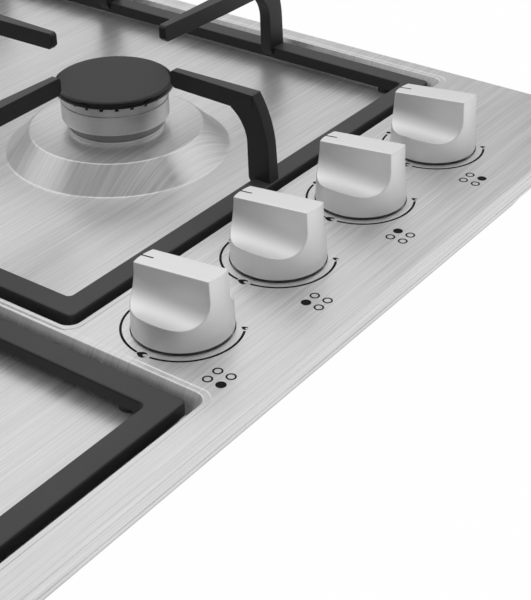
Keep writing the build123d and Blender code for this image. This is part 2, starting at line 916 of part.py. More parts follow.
def magnet_units():
    """Flame-failure magnet units on the taps' left sides."""
    units = []
    for x in knob_x:
        start = x - tap_width / 2
        place = Pos(start - magnet_length / 2, knob_y, magnet_z) * Rot(0, 90, 0)
        units.append(place * Cylinder(magnet_radius, magnet_length))
    return join(units)


def tap_screws():
    """Screws that go through the rail into the taps."""
    screws = []
    for x in knob_x:
        for side in (-1, 1):
            length = rail_size + tap_screw_grip - tap_screw_end_gap
            start = Pos(x + side * tap_screw_spread, rail_y - rail_size / 2, magnet_z + tap_screw_rise)
            shaft = start * Rot(-90, 0, 0) * Cylinder(tap_screw_radius, length, align=BASE)
            head = start * Rot(90, 0, 0) * Cylinder(
                tap_screw_head, tap_screw_head_height, align=BASE
            )
            screws.append(shaft + head)
    return join(screws)


# ---------------------------------------------------------------- gas supply
def gas_rail():
    """Square tube that feeds the taps, with two feet that stand on the tray."""
    half = rail_size / 2
    low, high = magnet_z - half, magnet_z + half
    rail = slab(rail_left, rail_right, rail_y - half, rail_y + half, low, high)
    inside = half - rail_wall
    rail -= slab(
        rail_left + rail_wall, rail_right - rail_wall, rail_y - inside, rail_y + inside,
        magnet_z - inside, magnet_z + inside,
    )
    for x in knob_x:
        port = Pos(x, tap_front, magnet_z) * Rot(90, 0, 0)
        rail -= port * Cylinder(tap_inlet_radius, 3 * rail_wall)
        for side in (-1, 1):
            place = Pos(x + side * tap_screw_spread, rail_y, magnet_z + tap_screw_rise) * Rot(90, 0, 0)
            rail -= place * Cylinder(tap_screw_radius + screw_clearance, rail_size + 1)
    outlet = Pos(supply_x, tap_front, magnet_z) * Rot(90, 0, 0)
    rail -= outlet * Cylinder(supply_radius - supply_wall, 3 * rail_wall)
    for x in (knob_x[0] + knob_pitch / 2, knob_x[2] + knob_pitch / 2):
        left, right = x - rail_size / 2, x + rail_size / 2
        back = rail_y + half
        rail += slab(left, right, back - rail_wall, back, sheet, low)
        rail += slab(left, right, back - rail_wall, back + rail_size, sheet, sheet + rail_wall)
    return rail


def supply_pipe():
    """Pipe from the inlet fitting to the rail."""
    start = (supply_x, tap_front, magnet_z)
    end = inlet_place()[1] - inlet_body_radius + supply_insert
    length = end - start[1]
    outer = Pos(*start) * Rot(-90, 0, 0) * Cylinder(supply_radius, length, align=BASE)
    inner = Pos(*start) * Rot(-90, 0, 0) * Cylinder(
        supply_radius - supply_wall, length, align=BASE
    )
    return outer - inner


def gas_inlet_fitting():
    """Brass elbow with the threaded stub that points down out of the tray."""
    x, y = inlet_place()
    floor = notch_height + sheet
    body = disc(x, y, floor, floor + inlet_body_height, inlet_body_radius)
    body += disc(x, y, notch_height, floor, inlet_neck_radius)
    stub_low = notch_height - inlet_thread_length
    body += disc(x, y, stub_low, notch_height, inlet_thread_radius)
    body -= disc(x, y, stub_low - 1, magnet_z, inlet_bore)
    seat = y - inlet_body_radius - supply_insert
    entry = Pos(x, seat, magnet_z) * Rot(-90, 0, 0)
    socket = 2 * supply_insert + screw_clearance
    body -= entry * Cylinder(supply_radius + screw_clearance, socket, align=BASE)
    return body - entry * Cylinder(inlet_bore, inlet_body_radius + supply_insert, align=BASE)


def toward(start, end, share):
    """Value that lies a share of the way from start to end."""
    return start + (end - start) * share


def feed_bends():
    """Each tap's burner, left to right, and where the pipe to it turns."""
    left_x, front_y = burner_place("front_left")
    back_y = burner_place("back_left")[1]
    lane_x = burner_place("front_right")[0] - cup_radius - pipe_lane_gap
    near_y = burner_place("front_right")[1]
    far_y = burner_place("back_right")[1]
    start_y = tap_back + pipe_dive
    first, second, last = knob_x[0], knob_x[1], knob_x[3]
    return [
        ("front_left", [(toward(first, left_x, 0.5), front_y)]),
        ("back_left", [
            (toward(second, left_x, 0.55), toward(start_y, back_y, 0.45)),
            (toward(second, left_x, 0.9), toward(start_y, back_y, 0.8)),
        ]),
        ("back_right", [(lane_x, near_y - 30.0), (lane_x, far_y - 42.0)]),
        ("front_right", [(last - 8.0, toward(start_y, near_y, 0.66))]),
    ]


def feed_route(index):
    """Points of one feed pipe, from its tap to the cup of its burner."""
    name, bends = feed_bends()[index]
    x = knob_x[index]
    end_x, end_y = burner_place(name)
    start = [(x, tap_back - 6.0, outlet_z), (x, tap_back + pipe_dive - 22.0, outlet_z)]
    start.append((x, tap_back + pipe_dive, pipe_level))
    run = [(bx, by, pipe_level) for bx, by in bends]
    finish = [(end_x, end_y, pipe_level), (end_x, end_y, cup_bottom)]
    return start + run + finish


def feed_pipes():
    """Aluminium pipes from the taps to the cups."""
    return join(
        [pipe(feed_route(i), pipe_radius, pipe_wall, pipe_bend) for i in range(4)]
    )


def union_nuts():
    """Nuts at both ends of the feed pipes."""
    nuts = []
    for index, (name, bends) in enumerate(feed_bends()):
        tap_nut = RegularPolygon(union_flats / 2, 6, major_radius=False)
        tap_nut -= Circle(pipe_radius + screw_clearance)
        place = Plane(origin=(knob_x[index], tap_back, outlet_z), z_dir=(0, 1, 0))
        nuts.append(extrude(place * tap_nut, union_length))
        x, y = burner_place(name)
        gland = hexagon(x, y, cup_bottom - union_length, cup_bottom, union_flats)
        nuts.append(gland - disc(x, y, 0, cup_bottom + 1, pipe_radius + screw_clearance))
    return join(nuts)


# ---------------------------------------------------------------- ignition and electrics
def thermocouple_bends(name, start, end):
    """Plan points of a thermocouple's lead between its probe and its magnet unit."""
    (px, py), (ex, ey) = start, end
    lane_x = burner_place("front_right")[0] - cup_radius - lead_lane_gap
    if name == "front_left":
        return [(toward(px, ex, 0.33), toward(py, ey, 0.4)), (ex - 18.0, ey + 25.0)]
    if name == "back_left":
        return [
            (toward(px, ex, 0.34), py - 20.0),
            (toward(px, ex, 0.42), toward(py, ey, 0.59)),
            (ex - 10.0, ey + 30.0),
        ]
    if name == "back_right":
        return [(lane_x, py - 20.0), (lane_x, ey + 41.0)]
    return [(px + 22.0, py - 27.0), (ex - 2.5, ey + 41.0)]


def thermocouples():
    """Thermocouples with their leads to the magnet units."""
    pieces = []
    for index, name in enumerate(tap_burners):
        x, y = probe_place(name, thermocouple_angle)
        low = arm_top - arm_thickness
        probe = disc(x, y, low, cone_top + thermocouple_above, thermocouple_radius)
        end = knob_x[index] - tap_width / 2 - magnet_length
        turn = (end - 10.0, knob_y)
        run = [(x, y, low), (x, y, magnet_z)]
        run += [(bx, by, magnet_z) for bx, by in thermocouple_bends(name, (x, y), turn)]
        run += [(*turn, magnet_z), (end, knob_y, magnet_z)]
        pieces.append(probe + rod(run, lead_radius, lead_bend))
    return join(pieces)


def spark_leads():
    """High-voltage leads from the module to the electrodes."""
    mx, my = module_place
    leads = []
    for name in tap_burners:
        x, y = probe_place(name, electrode_angle)
        side, row = burners[name][:2]
        end_x = mx + (24.0 if side == "right" else -24.0)
        end_y = my + (10.0 if row == "back" else -10.0)
        bends = [(end_x, end_y)]
        if name == "back_right":
            bends.insert(0, (x - 19.0, y - 52.0))
        if name == "front_right":
            bends.insert(0, (x + 20.0, y + 32.0))
        low = arm_top - arm_thickness - electrode_below
        run = [(x, y, low), (x, y, spark_lead_level)]
        run += [(bx, by, spark_lead_level) for bx, by in bends]
        run.append((end_x, end_y, sheet + module_size[2]))
        leads.append(rod(run, lead_radius, spark_lead_bend))
    return join(leads)


def switch_place(x):
    """Limits of an ignition switch, which sits on its tap against the bonnet."""
    width, depth, height = switch_size
    front = knob_y + bonnet_radius
    return (x - width / 2, x + width / 2, front, front + depth, tap_top, tap_top + height)


def ignition_switches():
    """Switches that start the spark when a knob is pushed."""
    return join([slab(*switch_place(x), switch_corner) for x in knob_x])


def switch_bends():
    """Where the lead of each switch turns on its way to the module."""
    mx, my = module_place
    second, third, last = knob_x[1:]
    return [
        [(mx - 6.0, my - 90.0), (mx - 6.0, my - 14.0)],
        [(second - 19.0, knob_y + 71.0), (mx + 6.0, my - 70.0), (mx + 6.0, my - 14.0)],
        [
            (third - 29.0, knob_y + 65.0), (toward(mx, third, 0.42), my - 60.0),
            (mx + 16.0, my - 8.0),
        ],
        [(last - 12.0, knob_y + 61.0), (last - 26.0, my - 36.0), (mx + 16.0, my + 4.0)],
    ]


def mains_run(offset):
    """Points of one wire between the terminal block and the module."""
    front = tray_back - sheet - terminal_size[1]
    x = terminal_x + terminal_size[0] / 4 + 2 * offset
    module_back = module_place[1] + module_size[1] / 2
    end_x = module_place[0] - module_size[0] / 4 + offset
    return [
        (x, front, mains_lead_level), (x, front - 20.0, mains_lead_level),
        (end_x, module_back + 20.0, mains_lead_level),
        (end_x, module_back, mains_lead_level),
    ]


def wiring_leads():
    """Leads from the switches and the terminal block to the module."""
    leads = []
    for x, route in zip(knob_x, switch_bends()):
        back = switch_place(x)[3]
        height = tap_top + switch_size[2] / 2
        run = [(x, back, height), (x, back + 14.0, height)]
        run.append((x, back + 34.0, switch_lead_level))
        run += [(bx, by, switch_lead_level) for bx, by in route]
        run.append((*route[-1], sheet + module_size[2]))
        leads.append(rod(run, lead_radius, spark_lead_bend))
    for offset in (-4.0, 4.0):
        leads.append(rod(mains_run(offset), lead_radius, lead_bend))
    return join(leads)


def ignition_module():
    """Spark generator on the tray's floor."""
    mx, my = module_place
    width, depth, height = module_size
    box = (mx - width / 2, mx + width / 2, my - depth / 2, my + depth / 2)
    return slab(*box, sheet, sheet + height, module_corner)


def terminal_block():
    """Mains terminal block against the tray's back wall."""
    width, depth, height = terminal_size
    back = tray_back - sheet
    block = slab(
        terminal_x - width / 2, terminal_x + width / 2, back - depth, back,
        sheet, sheet + height + terminal_hood,
    )
    entry = Pos(terminal_x, back, grommet_height) * Rot(90, 0, 0)
    return block - entry * Cylinder(grommet_flange + terminal_relief, 2 * grommet_length)


def cord_grommet():
    """Grommet in the tray's back wall, where the mains cord comes in."""
    outside = Pos(terminal_x, tray_back, grommet_height) * Rot(-90, 0, 0)
    inside = Pos(terminal_x, tray_back, grommet_height) * Rot(90, 0, 0)
    grommet = inside * Cylinder(
        grommet_radius, grommet_length - grommet_flange_height, align=BASE
    )
    grommet += outside * Cylinder(grommet_flange, grommet_flange_height, align=BASE)
    bore = Pos(terminal_x, tray_back, grommet_height) * Rot(90, 0, 0)
    return grommet - bore * Cylinder(grommet_bore, 4 * grommet_length)


# ---------------------------------------------------------------- worktop fixing
def clamp_screw_z():
    """Height of the clamps' screws."""
    return worktop_z - worktop_thickness + clamp_rise - clamp_screw_drop


def fixing_clamps():
    """Angle brackets that grip the worktop from below."""
    clamps = []
    low = worktop_z - worktop_thickness - clamp_plate
    for sign in (-1, 1):
        for y in (-clamp_y, clamp_y):
            near, far = y - clamp_width / 2, y + clamp_width / 2
            inner = tray_right
            plate = slab(inner, inner + clamp_plate, near, far, low, low + clamp_rise)
            arm = slab(inner, inner + clamp_reach, near, far, low, low + clamp_plate)
            bracket = plate + arm
            hole = Pos(inner, y, clamp_screw_z()) * Rot(0, 90, 0)
            radius = clamp_screw_radius + clamp_screw_clearance
            bracket -= hole * Cylinder(radius, 4 * clamp_plate + 2)
            if sign < 0:
                bracket = Rot(0, 0, 180) * bracket
            clamps.append(bracket)
    return join(clamps)


def clamp_screws():
    """Screws that hold the clamps to the tray's sides."""
    screws = []
    for sign in (-1, 1):
        for y in (-clamp_y, clamp_y):
            face = Pos(tray_right + clamp_plate, y, clamp_screw_z())
            head = Rot(0, 90, 0) * Cylinder(
                clamp_screw_head, clamp_screw_head_height, align=BASE
            )
            shaft = Rot(0, -90, 0) * Cylinder(
                clamp_screw_radius, clamp_screw_length, align=BASE
            )
            screw = face * (head + shaft)
            if sign < 0:
                screw = Rot(0, 0, 180) * screw
            screws.append(screw)
    return join(screws)


# ---------------------------------------------------------------- build and write
def save(name, shape):
    """Write one node."""
    export_step(shape, "parts/" + name + ".step")


def build():
    """Make every piece."""
    under = under_form()
    save("top_panel", top_panel(under))
    save("base_tray", base_tray(under))
    save("worktop_seal", worktop_seal())
    save("tray_fixings", tray_fixings())
    for side in ("left", "right"):
        save(side + "_pan_support", pan_support(side))
        save(side + "_support_feet", support_feet(side))
    for name in burners:
        save(name + "_burner_crown", burner_crown(name))
        save(name + "_burner_cap", burner_cap(name))
        save(name + "_burner_cup", burner_cup(name))
    for index, x in enumerate(knob_x):
        number = "_" + str(index + 1)
        save("control_knob" + number, control_knob(x))
        save("tap_stem" + number, tap_stem(x))
        save("tap_plug" + number, tap_plug(x))
        save("tap_body" + number, tap_body(x))
        save("stem_spring" + number, stem_spring(x))
    groups = (
        cup_fixings, injectors, spark_electrodes, thermocouples, tap_bonnets,
        magnet_units, tap_screws, gas_rail, supply_pipe, gas_inlet_fitting, feed_pipes,
        union_nuts, spark_leads, ignition_switches, wiring_leads, ignition_module,
        terminal_block, cord_grommet, fixing_clamps, clamp_screws,
    )
    for make in groups:
        save(make.__name__, make())


build()
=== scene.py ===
# %% [markdown]
# # A built-in gas cooktop, dressed cell by cell
# The construction model already holds every piece at its real size. This lesson gives the
# pieces that show their real surfaces: a pressed and brushed steel panel, cast-iron pan
# supports, enamelled caps, aluminium crowns and satin knobs. Each shape is a formula worked
# out with numpy, and each finish is a small net of shader nodes.
#
# X runs to the user's right, Y to the back and Z up, in metres.

# %% Load the frame
import math

import bmesh
import bpy
import numpy as np
from mathutils import Matrix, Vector
from mathutils.geometry import delaunay_2d_cdt


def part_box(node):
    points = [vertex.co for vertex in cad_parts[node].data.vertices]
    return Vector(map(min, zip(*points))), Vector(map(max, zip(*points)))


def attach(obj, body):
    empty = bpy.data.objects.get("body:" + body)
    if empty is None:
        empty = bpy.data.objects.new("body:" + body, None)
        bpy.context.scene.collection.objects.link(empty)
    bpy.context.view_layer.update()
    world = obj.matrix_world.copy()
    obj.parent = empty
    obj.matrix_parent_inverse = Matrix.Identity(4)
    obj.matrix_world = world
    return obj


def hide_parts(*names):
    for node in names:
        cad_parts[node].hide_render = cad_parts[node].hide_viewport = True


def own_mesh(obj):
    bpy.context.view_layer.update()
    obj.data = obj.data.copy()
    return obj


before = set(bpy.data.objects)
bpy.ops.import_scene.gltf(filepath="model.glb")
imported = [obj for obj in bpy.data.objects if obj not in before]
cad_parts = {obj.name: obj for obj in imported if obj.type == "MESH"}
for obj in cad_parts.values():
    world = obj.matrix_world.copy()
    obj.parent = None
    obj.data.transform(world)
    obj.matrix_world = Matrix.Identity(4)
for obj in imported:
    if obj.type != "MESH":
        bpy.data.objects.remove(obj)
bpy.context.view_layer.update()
mm = 0.001
print("pieces in the frame:", len(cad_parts))

# %% [markdown]
# ## Patches and pieces
# A surface is a grid of points: rows run one way over it and columns the other. A helper
# turns such a grid into four-sided faces, another welds several grids into one mesh. Writing
# the points as whole arrays keeps the shape and its formula side by side, where a modelling
# operator would hide it.


# %% Grids of points
def patch(points, wrap=False, flip=False):
    """Faces over a grid of points: face (i, j) joins rows i, i+1 and columns j, j+1.
    wrap joins the last column to the first, and flip turns the faces over."""
    rows, columns = points.shape[:2]
    index = np.arange(rows * columns).reshape(rows, columns)
    if wrap:
        index = np.hstack([index, index[:, :1]])
    faces = np.stack([index[:-1, :-1], index[:-1, 1:], index[1:, 1:], index[1:, :-1]], axis=-1)
    faces = faces.reshape(-1, 4)
    return points.reshape(-1, 3), faces[:, ::-1] if flip else faces


def filleted(corners, radii, steps=6):
    """Line through corners with each inner corner swung round an arc.
    With unit vectors a and b from a corner to its neighbours and h half the angle between
    them, the arc starts r / tan h along a, ends r / tan h along b, and its centre lies
    r / sin h from the corner along a + b."""
    corners = np.asarray(corners, float)
    line = [corners[:1]]
    for before, corner, after, radius in zip(corners, corners[1:], corners[2:], radii):
        a = (before - corner) / np.linalg.norm(before - corner)
        b = (after - corner) / np.linalg.norm(after - corner)
        half = math.acos(np.clip(a @ b, -1, 1)) / 2
        centre = corner + (a + b) / np.linalg.norm(a + b) * radius / math.sin(half)
        start = corner + a * radius / math.tan(half) - centre
        end = corner + b * radius / math.tan(half) - centre
        turn = math.pi - 2 * half
        t = np.linspace(0, 1, steps + 1)[:, None]
        line.append(centre + (np.sin((1 - t) * turn) * start + np.sin(t * turn) * end) / math.sin(turn))
    line.append(corners[-1:])
    return np.concatenate(line)


def loop(centre, half_x, half_y, corner, steps=10):
    """Rounded rectangle, anticlockwise: four corner centres plus corner radius times
    (cos a, sin a), with a running a quarter turn at each."""
    angle = np.linspace(0, math.pi / 2, steps)
    turns = np.concatenate([angle + quarter * math.pi / 2 for quarter in range(4)])
    signs = np.repeat([[1, 1], [-1, 1], [-1, -1], [1, -1]], steps, axis=0)
    middle = np.array(centre) + signs * [half_x - corner, half_y - corner]
    return middle + corner * np.stack([np.cos(turns), np.sin(turns)], axis=1)


def circle(centre, radius, steps=96):
    """Ring of points, anticlockwise."""
    angle = np.arange(steps) / steps * 2 * math.pi
    return np.array(centre) + radius * np.stack([np.cos(angle), np.sin(angle)], axis=1)


def lift(outline, height):
    """Plan points moved to a height."""
    return np.column_stack([outline, np.full(len(outline), height)])


def revolved(centre, profile, steps=96, flip=False):
    """Surface of revolution: radius and height from the profile, one ring per point."""
    rings = np.stack([lift(circle(centre, radius, steps), height) for radius, height in profile])
    return patch(rings, wrap=True, flip=flip)


def inside(points, outline):
    """Which points a closed outline goes round, by counting crossings to the right."""
    x, y = points[:, :1], points[:, 1:]
    ax, ay = outline[:, 0], outline[:, 1]
    bx, by = np.roll(ax, -1), np.roll(ay, -1)
    with np.errstate(divide="ignore", invalid="ignore"):
        crossing = ((ay > y) != (by > y)) & (x < (bx - ax) * (y - ay) / (by - ay) + ax)
    return crossing.sum(axis=1) % 2 == 1


def flat(outline, holes, height):
    """Level region between an outline and its holes, in triangles that face up."""
    loops = [outline] + list(holes)
    starts = np.cumsum([0] + [len(ring) for ring in loops])
    edges = []
    for start, ring in zip(starts, loops):
        index = np.arange(len(ring))
        edges += np.stack([start + index, start + (index + 1) % len(ring)], axis=1).tolist()
    plan = np.concatenate(loops)
    points, _, faces = delaunay_2d_cdt(plan.tolist(), edges, [], 1, 1e-9, False)[:3]
    points, faces = np.array([tuple(p) for p in points]), np.array(faces)
    middle = points[faces].mean(axis=1)
    keep = inside(middle, outline)
    for hole in holes:
        keep &= ~inside(middle, hole)
    faces = faces[keep]
    a, b, c = (points[faces[:, k]] for k in range(3))
    down = np.cross(b - a, c - a) < 0
    faces[down] = faces[down][:, ::-1]
    return lift(points, height), faces


# %% Pieces and their smoothing
WELD = 0.002 * mm


def piece(name, patches, material):
    """Mesh object of several patches, welded where their edges meet."""
    starts = np.cumsum([0] + [len(points) for points, _ in patches])
    faces = [face for start, (_, quads) in zip(starts, patches) for face in (quads + start).tolist()]
    mesh = bpy.data.meshes.new(name)
    mesh.from_pydata(np.concatenate([points for points, _ in patches]).tolist(), [], faces)
    edit = bmesh.new()
    edit.from_mesh(mesh)
    bmesh.ops.remove_doubles(edit, verts=edit.verts, dist=WELD)
    bmesh.ops.dissolve_degenerate(edit, edges=edit.edges, dist=WELD)
    edit.to_mesh(mesh)
    edit.free()
    mesh.shade_smooth()
    mesh.materials.append(material)
    made = bpy.data.objects.new(name, mesh)
    bpy.context.scene.collection.objects.link(made)
    return made


def settle(made):
    """The piece with its modifiers turned into plain mesh."""
    bpy.context.view_layer.update()
    ready = made.evaluated_get(bpy.context.evaluated_depsgraph_get())
    mesh = bpy.data.meshes.new_from_object(ready)
    made.modifiers.clear()
    made.data = mesh
    return made


def thicken(made, thickness):
    """Gives a skin its wall, on the side away from its outward faces."""
    wall = made.modifiers.new("wall", "SOLIDIFY")
    wall.thickness = thickness
    wall.offset = -1
    wall.use_even_offset = True
    return settle(made)


def soften(made, width, segments=3, angle=30):
    """Rounds every edge that turns by more than the angle, and evens the shading."""
    bevel = made.modifiers.new("soft edges", "BEVEL")
    bevel.width = width
    bevel.segments = segments
    bevel.limit_method = "ANGLE"
    bevel.angle_limit = math.radians(angle)
    bevel.use_clamp_overlap = False
    return shade(settle(made))


def shade(made, angle=40):
    """Keeps edges above the angle crisp and weighs the rest by the faces' areas."""
    made.data.shade_smooth()
    made.data.set_sharp_from_angle(angle=math.radians(angle))
    normals = made.modifiers.new("even shading", "WEIGHTED_NORMAL")
    normals.keep_sharp = True
    print(made.name, "faces:", len(made.data.polygons))
    return made


def finished(made, body, *nodes):
    """Ties a piece to its body and hides the nodes that it stands for."""
    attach(made, body)
    if nodes:
        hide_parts(*nodes)
    return made


# %% [markdown]
# ## Shader sums as Python
# A brushed or cast surface is a few noises added and scaled. Written as Python sums they
# read like the formula they are, and a small class turns each operator into a Math node.


# %% The shader helper
class Wire:
    """An output socket that can be added, subtracted, multiplied or compared."""

    def __init__(self, graph, socket):
        self.graph = graph
        self.socket = socket

    def sum(self, operation, first, second):
        return self.graph.add("ShaderNodeMath", {"operation": operation}, {0: first, 1: second})

    def __add__(self, other):
        return self.sum("ADD", self, other)

    def __radd__(self, other):
        return self.sum("ADD", other, self)

    def __sub__(self, other):
        return self.sum("SUBTRACT", self, other)

    def __rsub__(self, other):
        return self.sum("SUBTRACT", other, self)

    def __mul__(self, other):
        return self.sum("MULTIPLY", self, other)

    def __rmul__(self, other):
        return self.sum("MULTIPLY", other, self)

    def __gt__(self, other):
        return self.sum("GREATER_THAN", self, other)


class Graph:
    """A node tree with one method that adds any node."""

    def __init__(self, tree):
        self.tree = tree
        tree.nodes.clear()

    def add(self, kind, settings, inputs, output=0):
        """A node of one kind: its settings first, then its sockets' values or links."""
        node = self.tree.nodes.new(kind)
        for name, value in settings.items():
            setattr(node, name, value)
        for name, value in inputs.items():
            if isinstance(value, Wire):
                self.tree.links.new(value.socket, node.inputs[name])
            else:
                node.inputs[name].default_value = value
        return node if output is None else Wire(self, node.outputs[output])

    def place(self):
        """The X, Y and Z of a point on the object."""
        point = self.add("ShaderNodeTexCoord", {}, {}, "Object")
        return [self.add("ShaderNodeSeparateXYZ", {}, {0: point}, axis) for axis in range(3)]

    def noise(self, x, y, z, detail=2.0):
        """Soft random value from 0 to 1 that changes once per unit of x, y or z."""
        point = self.add("ShaderNodeCombineXYZ", {}, {0: x, 1: y, 2: z})
        inputs = {"Vector": point, "Scale": 1.0, "Detail": detail, "Roughness": 0.5}
        return self.add("ShaderNodeTexNoise", {}, inputs)

    def smooth(self, value, low, high):
        """Share that rises softly from 0 at the low value to 1 at the high one."""
        return self.add("ShaderNodeMapRange", {"interpolation_type": "SMOOTHSTEP"},
                        {0: value, 1: low, 2: high})

    def blend(self, share, first, second):
        """Colour that goes from the first to the second as share goes from 0 to 1."""
        inputs = {"Factor": share, 6: first, 7: second}
        return self.add("ShaderNodeMix", {"data_type": "RGBA"}, inputs, 2)

    def bump(self, height, distance, strength=1.0):
        """Normal tilted by a height that is worth the distance at 1."""
        inputs = {"Height": height, "Distance": distance, "Strength": strength}
        return self.add("ShaderNodeBump", {}, inputs)

    def finish(self, **inputs):
        """The surface itself, and its output."""
        named = {name.replace("_", " ").title().replace("Ior", "IOR"): value
                 for name, value in inputs.items()}
        surface = self.add("ShaderNodeBsdfPrincipled", {}, named)
        self.add("ShaderNodeOutputMaterial", {}, {"Surface": surface}, None)


def material(name):
    """New material and the graph that fills it."""
    made = bpy.data.materials.new(name)
    made.use_nodes = True
    return made, Graph(made.node_tree)


def grey(value):
    """Neutral colour."""
    return (value, value, value, 1)


# %% [markdown]
# ## Steel, iron, enamel and aluminium
# Brushed steel is one sheet scratched along X, so its noise is stretched a hundred times
# along X and changes quickly along Y. Where the sheet is pressed up into a cone the same
# scratches run up the slope, because the pattern still follows Y alone.


# %% Brushed steel
def brushed_steel():
    """Polished ground between scratches: the share of scratches, read from two streaky
    noises, sets how rough, how light and how high each hair line is."""
    made, graph = material("brushed_steel")
    x, y, z = graph.place()
    fine = graph.noise(x * 22, y * 2600, z * 40, 1.0)
    wide = graph.noise(x * 12, y * 900, z * 30, 2.0)
    cloud = graph.noise(x * 6, y * 14, z * 14, 1.0)
    scratch = graph.smooth(fine * 0.6 + wide * 0.4, 0.30, 0.70)
    colour = graph.blend(scratch * 0.75 + cloud * 0.25, grey(0.62), grey(0.88))
    graph.finish(
        base_color=colour, metallic=0.70, roughness=0.28 + scratch * 0.14,
        normal=graph.bump(scratch, 0.010 * mm),
    )
    return made


# %% Cast iron, enamel and rubber
def cast_iron():
    """Near-black sintered coat with a sand-cast grain, and painted light: its level faces are coloured
    lighter, as if lit from above.
    """
    made, graph = material("cast_iron")
    x, y, z = graph.place()
    grain = graph.noise(x * 1500, y * 1500, z * 1500, 3.0)
    cloud = graph.noise(x * 60, y * 60, z * 60, 2.0)
    normal = graph.add("ShaderNodeTexCoord", {}, {}, "Normal")
    upward = graph.add("ShaderNodeSeparateXYZ", {}, {0: normal}, 2)
    # Painted light: a mask of the faces that point up, which get a lighter colour as if lit from above.
    painted_top_light = graph.smooth(upward, 0.55, 0.97)
    speckle = grain * 0.5 + cloud * 0.5
    coat = graph.blend(speckle, grey(0.009), grey(0.018))
    # Lighter colour for the level faces: painted light from above, not the coat's own colour.
    painted_top_colour = graph.blend(speckle, grey(0.044), grey(0.073))
    graph.finish(
        base_color=graph.blend(painted_top_light, coat, painted_top_colour), metallic=0.0,
        roughness=0.40 + grain * 0.16, specular_ior_level=0.40,
        normal=graph.bump(grain, 0.04 * mm),
    )
    return made


def cap_enamel(top):
    """Satin charcoal on the cap's level top and glossy black on its rounded rim."""
    made, graph = material("cap_enamel")
    x, y, z = graph.place()
    speckle = graph.noise(x * 2500, y * 2500, z * 2500, 2.0)
    level = z > (top - 0.03 * mm)
    colour = graph.blend(level, grey(0.004), grey(0.046))
    graph.finish(
        base_color=colour, metallic=0.0,
        roughness=0.14 + level * 0.38 + speckle * 0.04,
        specular_ior_level=0.30, normal=graph.bump(speckle, 0.004 * mm),
    )
    return made


def grained(name, dark, light, rough, scale=1200, depth=0.02, metallic=0.0, **fixed):
    """Plain material with a fine even grain in its colour and height."""
    made, graph = material(name)
    x, y, z = graph.place()
    grain = graph.noise(x * scale, y * scale, z * scale, 2.0)
    colour = graph.blend(grain, (*dark, 1), (*light, 1))
    graph.finish(
        base_color=colour, metallic=metallic, roughness=rough + grain * 0.1,
        normal=graph.bump(grain, depth * mm), **fixed,
    )
    return made


def turned(name, dark, light, rough, depth=0.002):
    """Machined metal with fine rings, one above the other along Z."""
    made, graph = material(name)
    x, y, z = graph.place()
    ring = graph.noise(x * 3, y * 3, z * 4200, 2.0)
    colour = graph.blend(ring, grey(dark), grey(light))
    graph.finish(
        base_color=colour, metallic=1.0, roughness=rough + ring * 0.08,
        normal=graph.bump(ring, depth * mm),
    )
    return made


# %% Every finish of the cooktop
CAP_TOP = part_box("front_right_burner_cap")[1].z
GRAINED = {
    "galvanised_steel": ((0.40, 0.42, 0.44), (0.62, 0.64, 0.66), 0.42, 90, 0.02, 1.0),
    "zinc_steel": ((0.55, 0.56, 0.58), (0.72, 0.72, 0.70), 0.28, 900, 0.01, 1.0),
    "spring_steel": ((0.42, 0.42, 0.43), (0.56, 0.56, 0.56), 0.25, 900, 0.01, 1.0),
    "pipe_aluminium": ((0.62, 0.62, 0.63), (0.74, 0.74, 0.75), 0.34, 700, 0.01, 1.0),
    "brass": ((0.58, 0.42, 0.19), (0.74, 0.56, 0.27), 0.28, 800, 0.01, 1.0),
    "ceramic_white": ((0.74, 0.73, 0.70), (0.82, 0.81, 0.78), 0.30, 1500, 0.01, 0.0),
    "seal_foam": ((0.030, 0.030, 0.032), (0.070, 0.070, 0.074), 0.85, 1400, 0.12, 0.0),
    "rubber_black": ((0.012, 0.012, 0.012), (0.026, 0.026, 0.026), 0.62, 1500, 0.02, 0.0),
    "plastic_black": ((0.012, 0.012, 0.013), (0.020, 0.020, 0.021), 0.38, 2200, 0.01, 0.0),
    "plastic_white": ((0.68, 0.68, 0.66), (0.76, 0.76, 0.74), 0.40, 2200, 0.01, 0.0),
    "lead_silicone": ((0.42, 0.10, 0.07), (0.52, 0.14, 0.10), 0.48, 1600, 0.01, 0.0),
    "lead_pvc": ((0.10, 0.16, 0.34), (0.15, 0.22, 0.42), 0.40, 1600, 0.01, 0.0),
}
finish = {name: grained(name, *row) for name, row in GRAINED.items()}
finish["stainless_steel"] = brushed_steel()
finish["cast_iron"] = cast_iron()
finish["cap_enamel"] = cap_enamel(CAP_TOP)
finish["crown_aluminium"] = turned("crown_aluminium", 0.60, 0.72, 0.28)
# The cup is the crown's aluminium made much darker: painted shade, for the shadow under the crown's
# overhang. Its higher roughness is the duller cast surface.
finish["cup_aluminium"] = turned("cup_aluminium", 0.26, 0.34, 0.42)
finish["knob_satin"] = grained("knob_satin", (0.86,) * 3, (0.92,) * 3, 0.46, 2600, 0.004, 0.95)
finish["printed_black"] = grained("printed_black", (0.004,) * 3, (0.010,) * 3, 0.60, 2600, 0.002,
                                  specular_ior_level=0.15)
print("finishes:", sorted(finish))

# %% [markdown]
# ## The pressed top panel
# The real panel is one sheet of stainless steel: blanked, bevelled and folded in at its rim,
# and pressed into two shallow trays with a raised cone under each burner. So the mesh is one
# skin as well, level regions joined by swept walls with their press radii, and a Solidify
# modifier gives it the sheet's thickness. A bead a sixth of a millimetre deep runs round
# each tray, and shows as a fine double line.

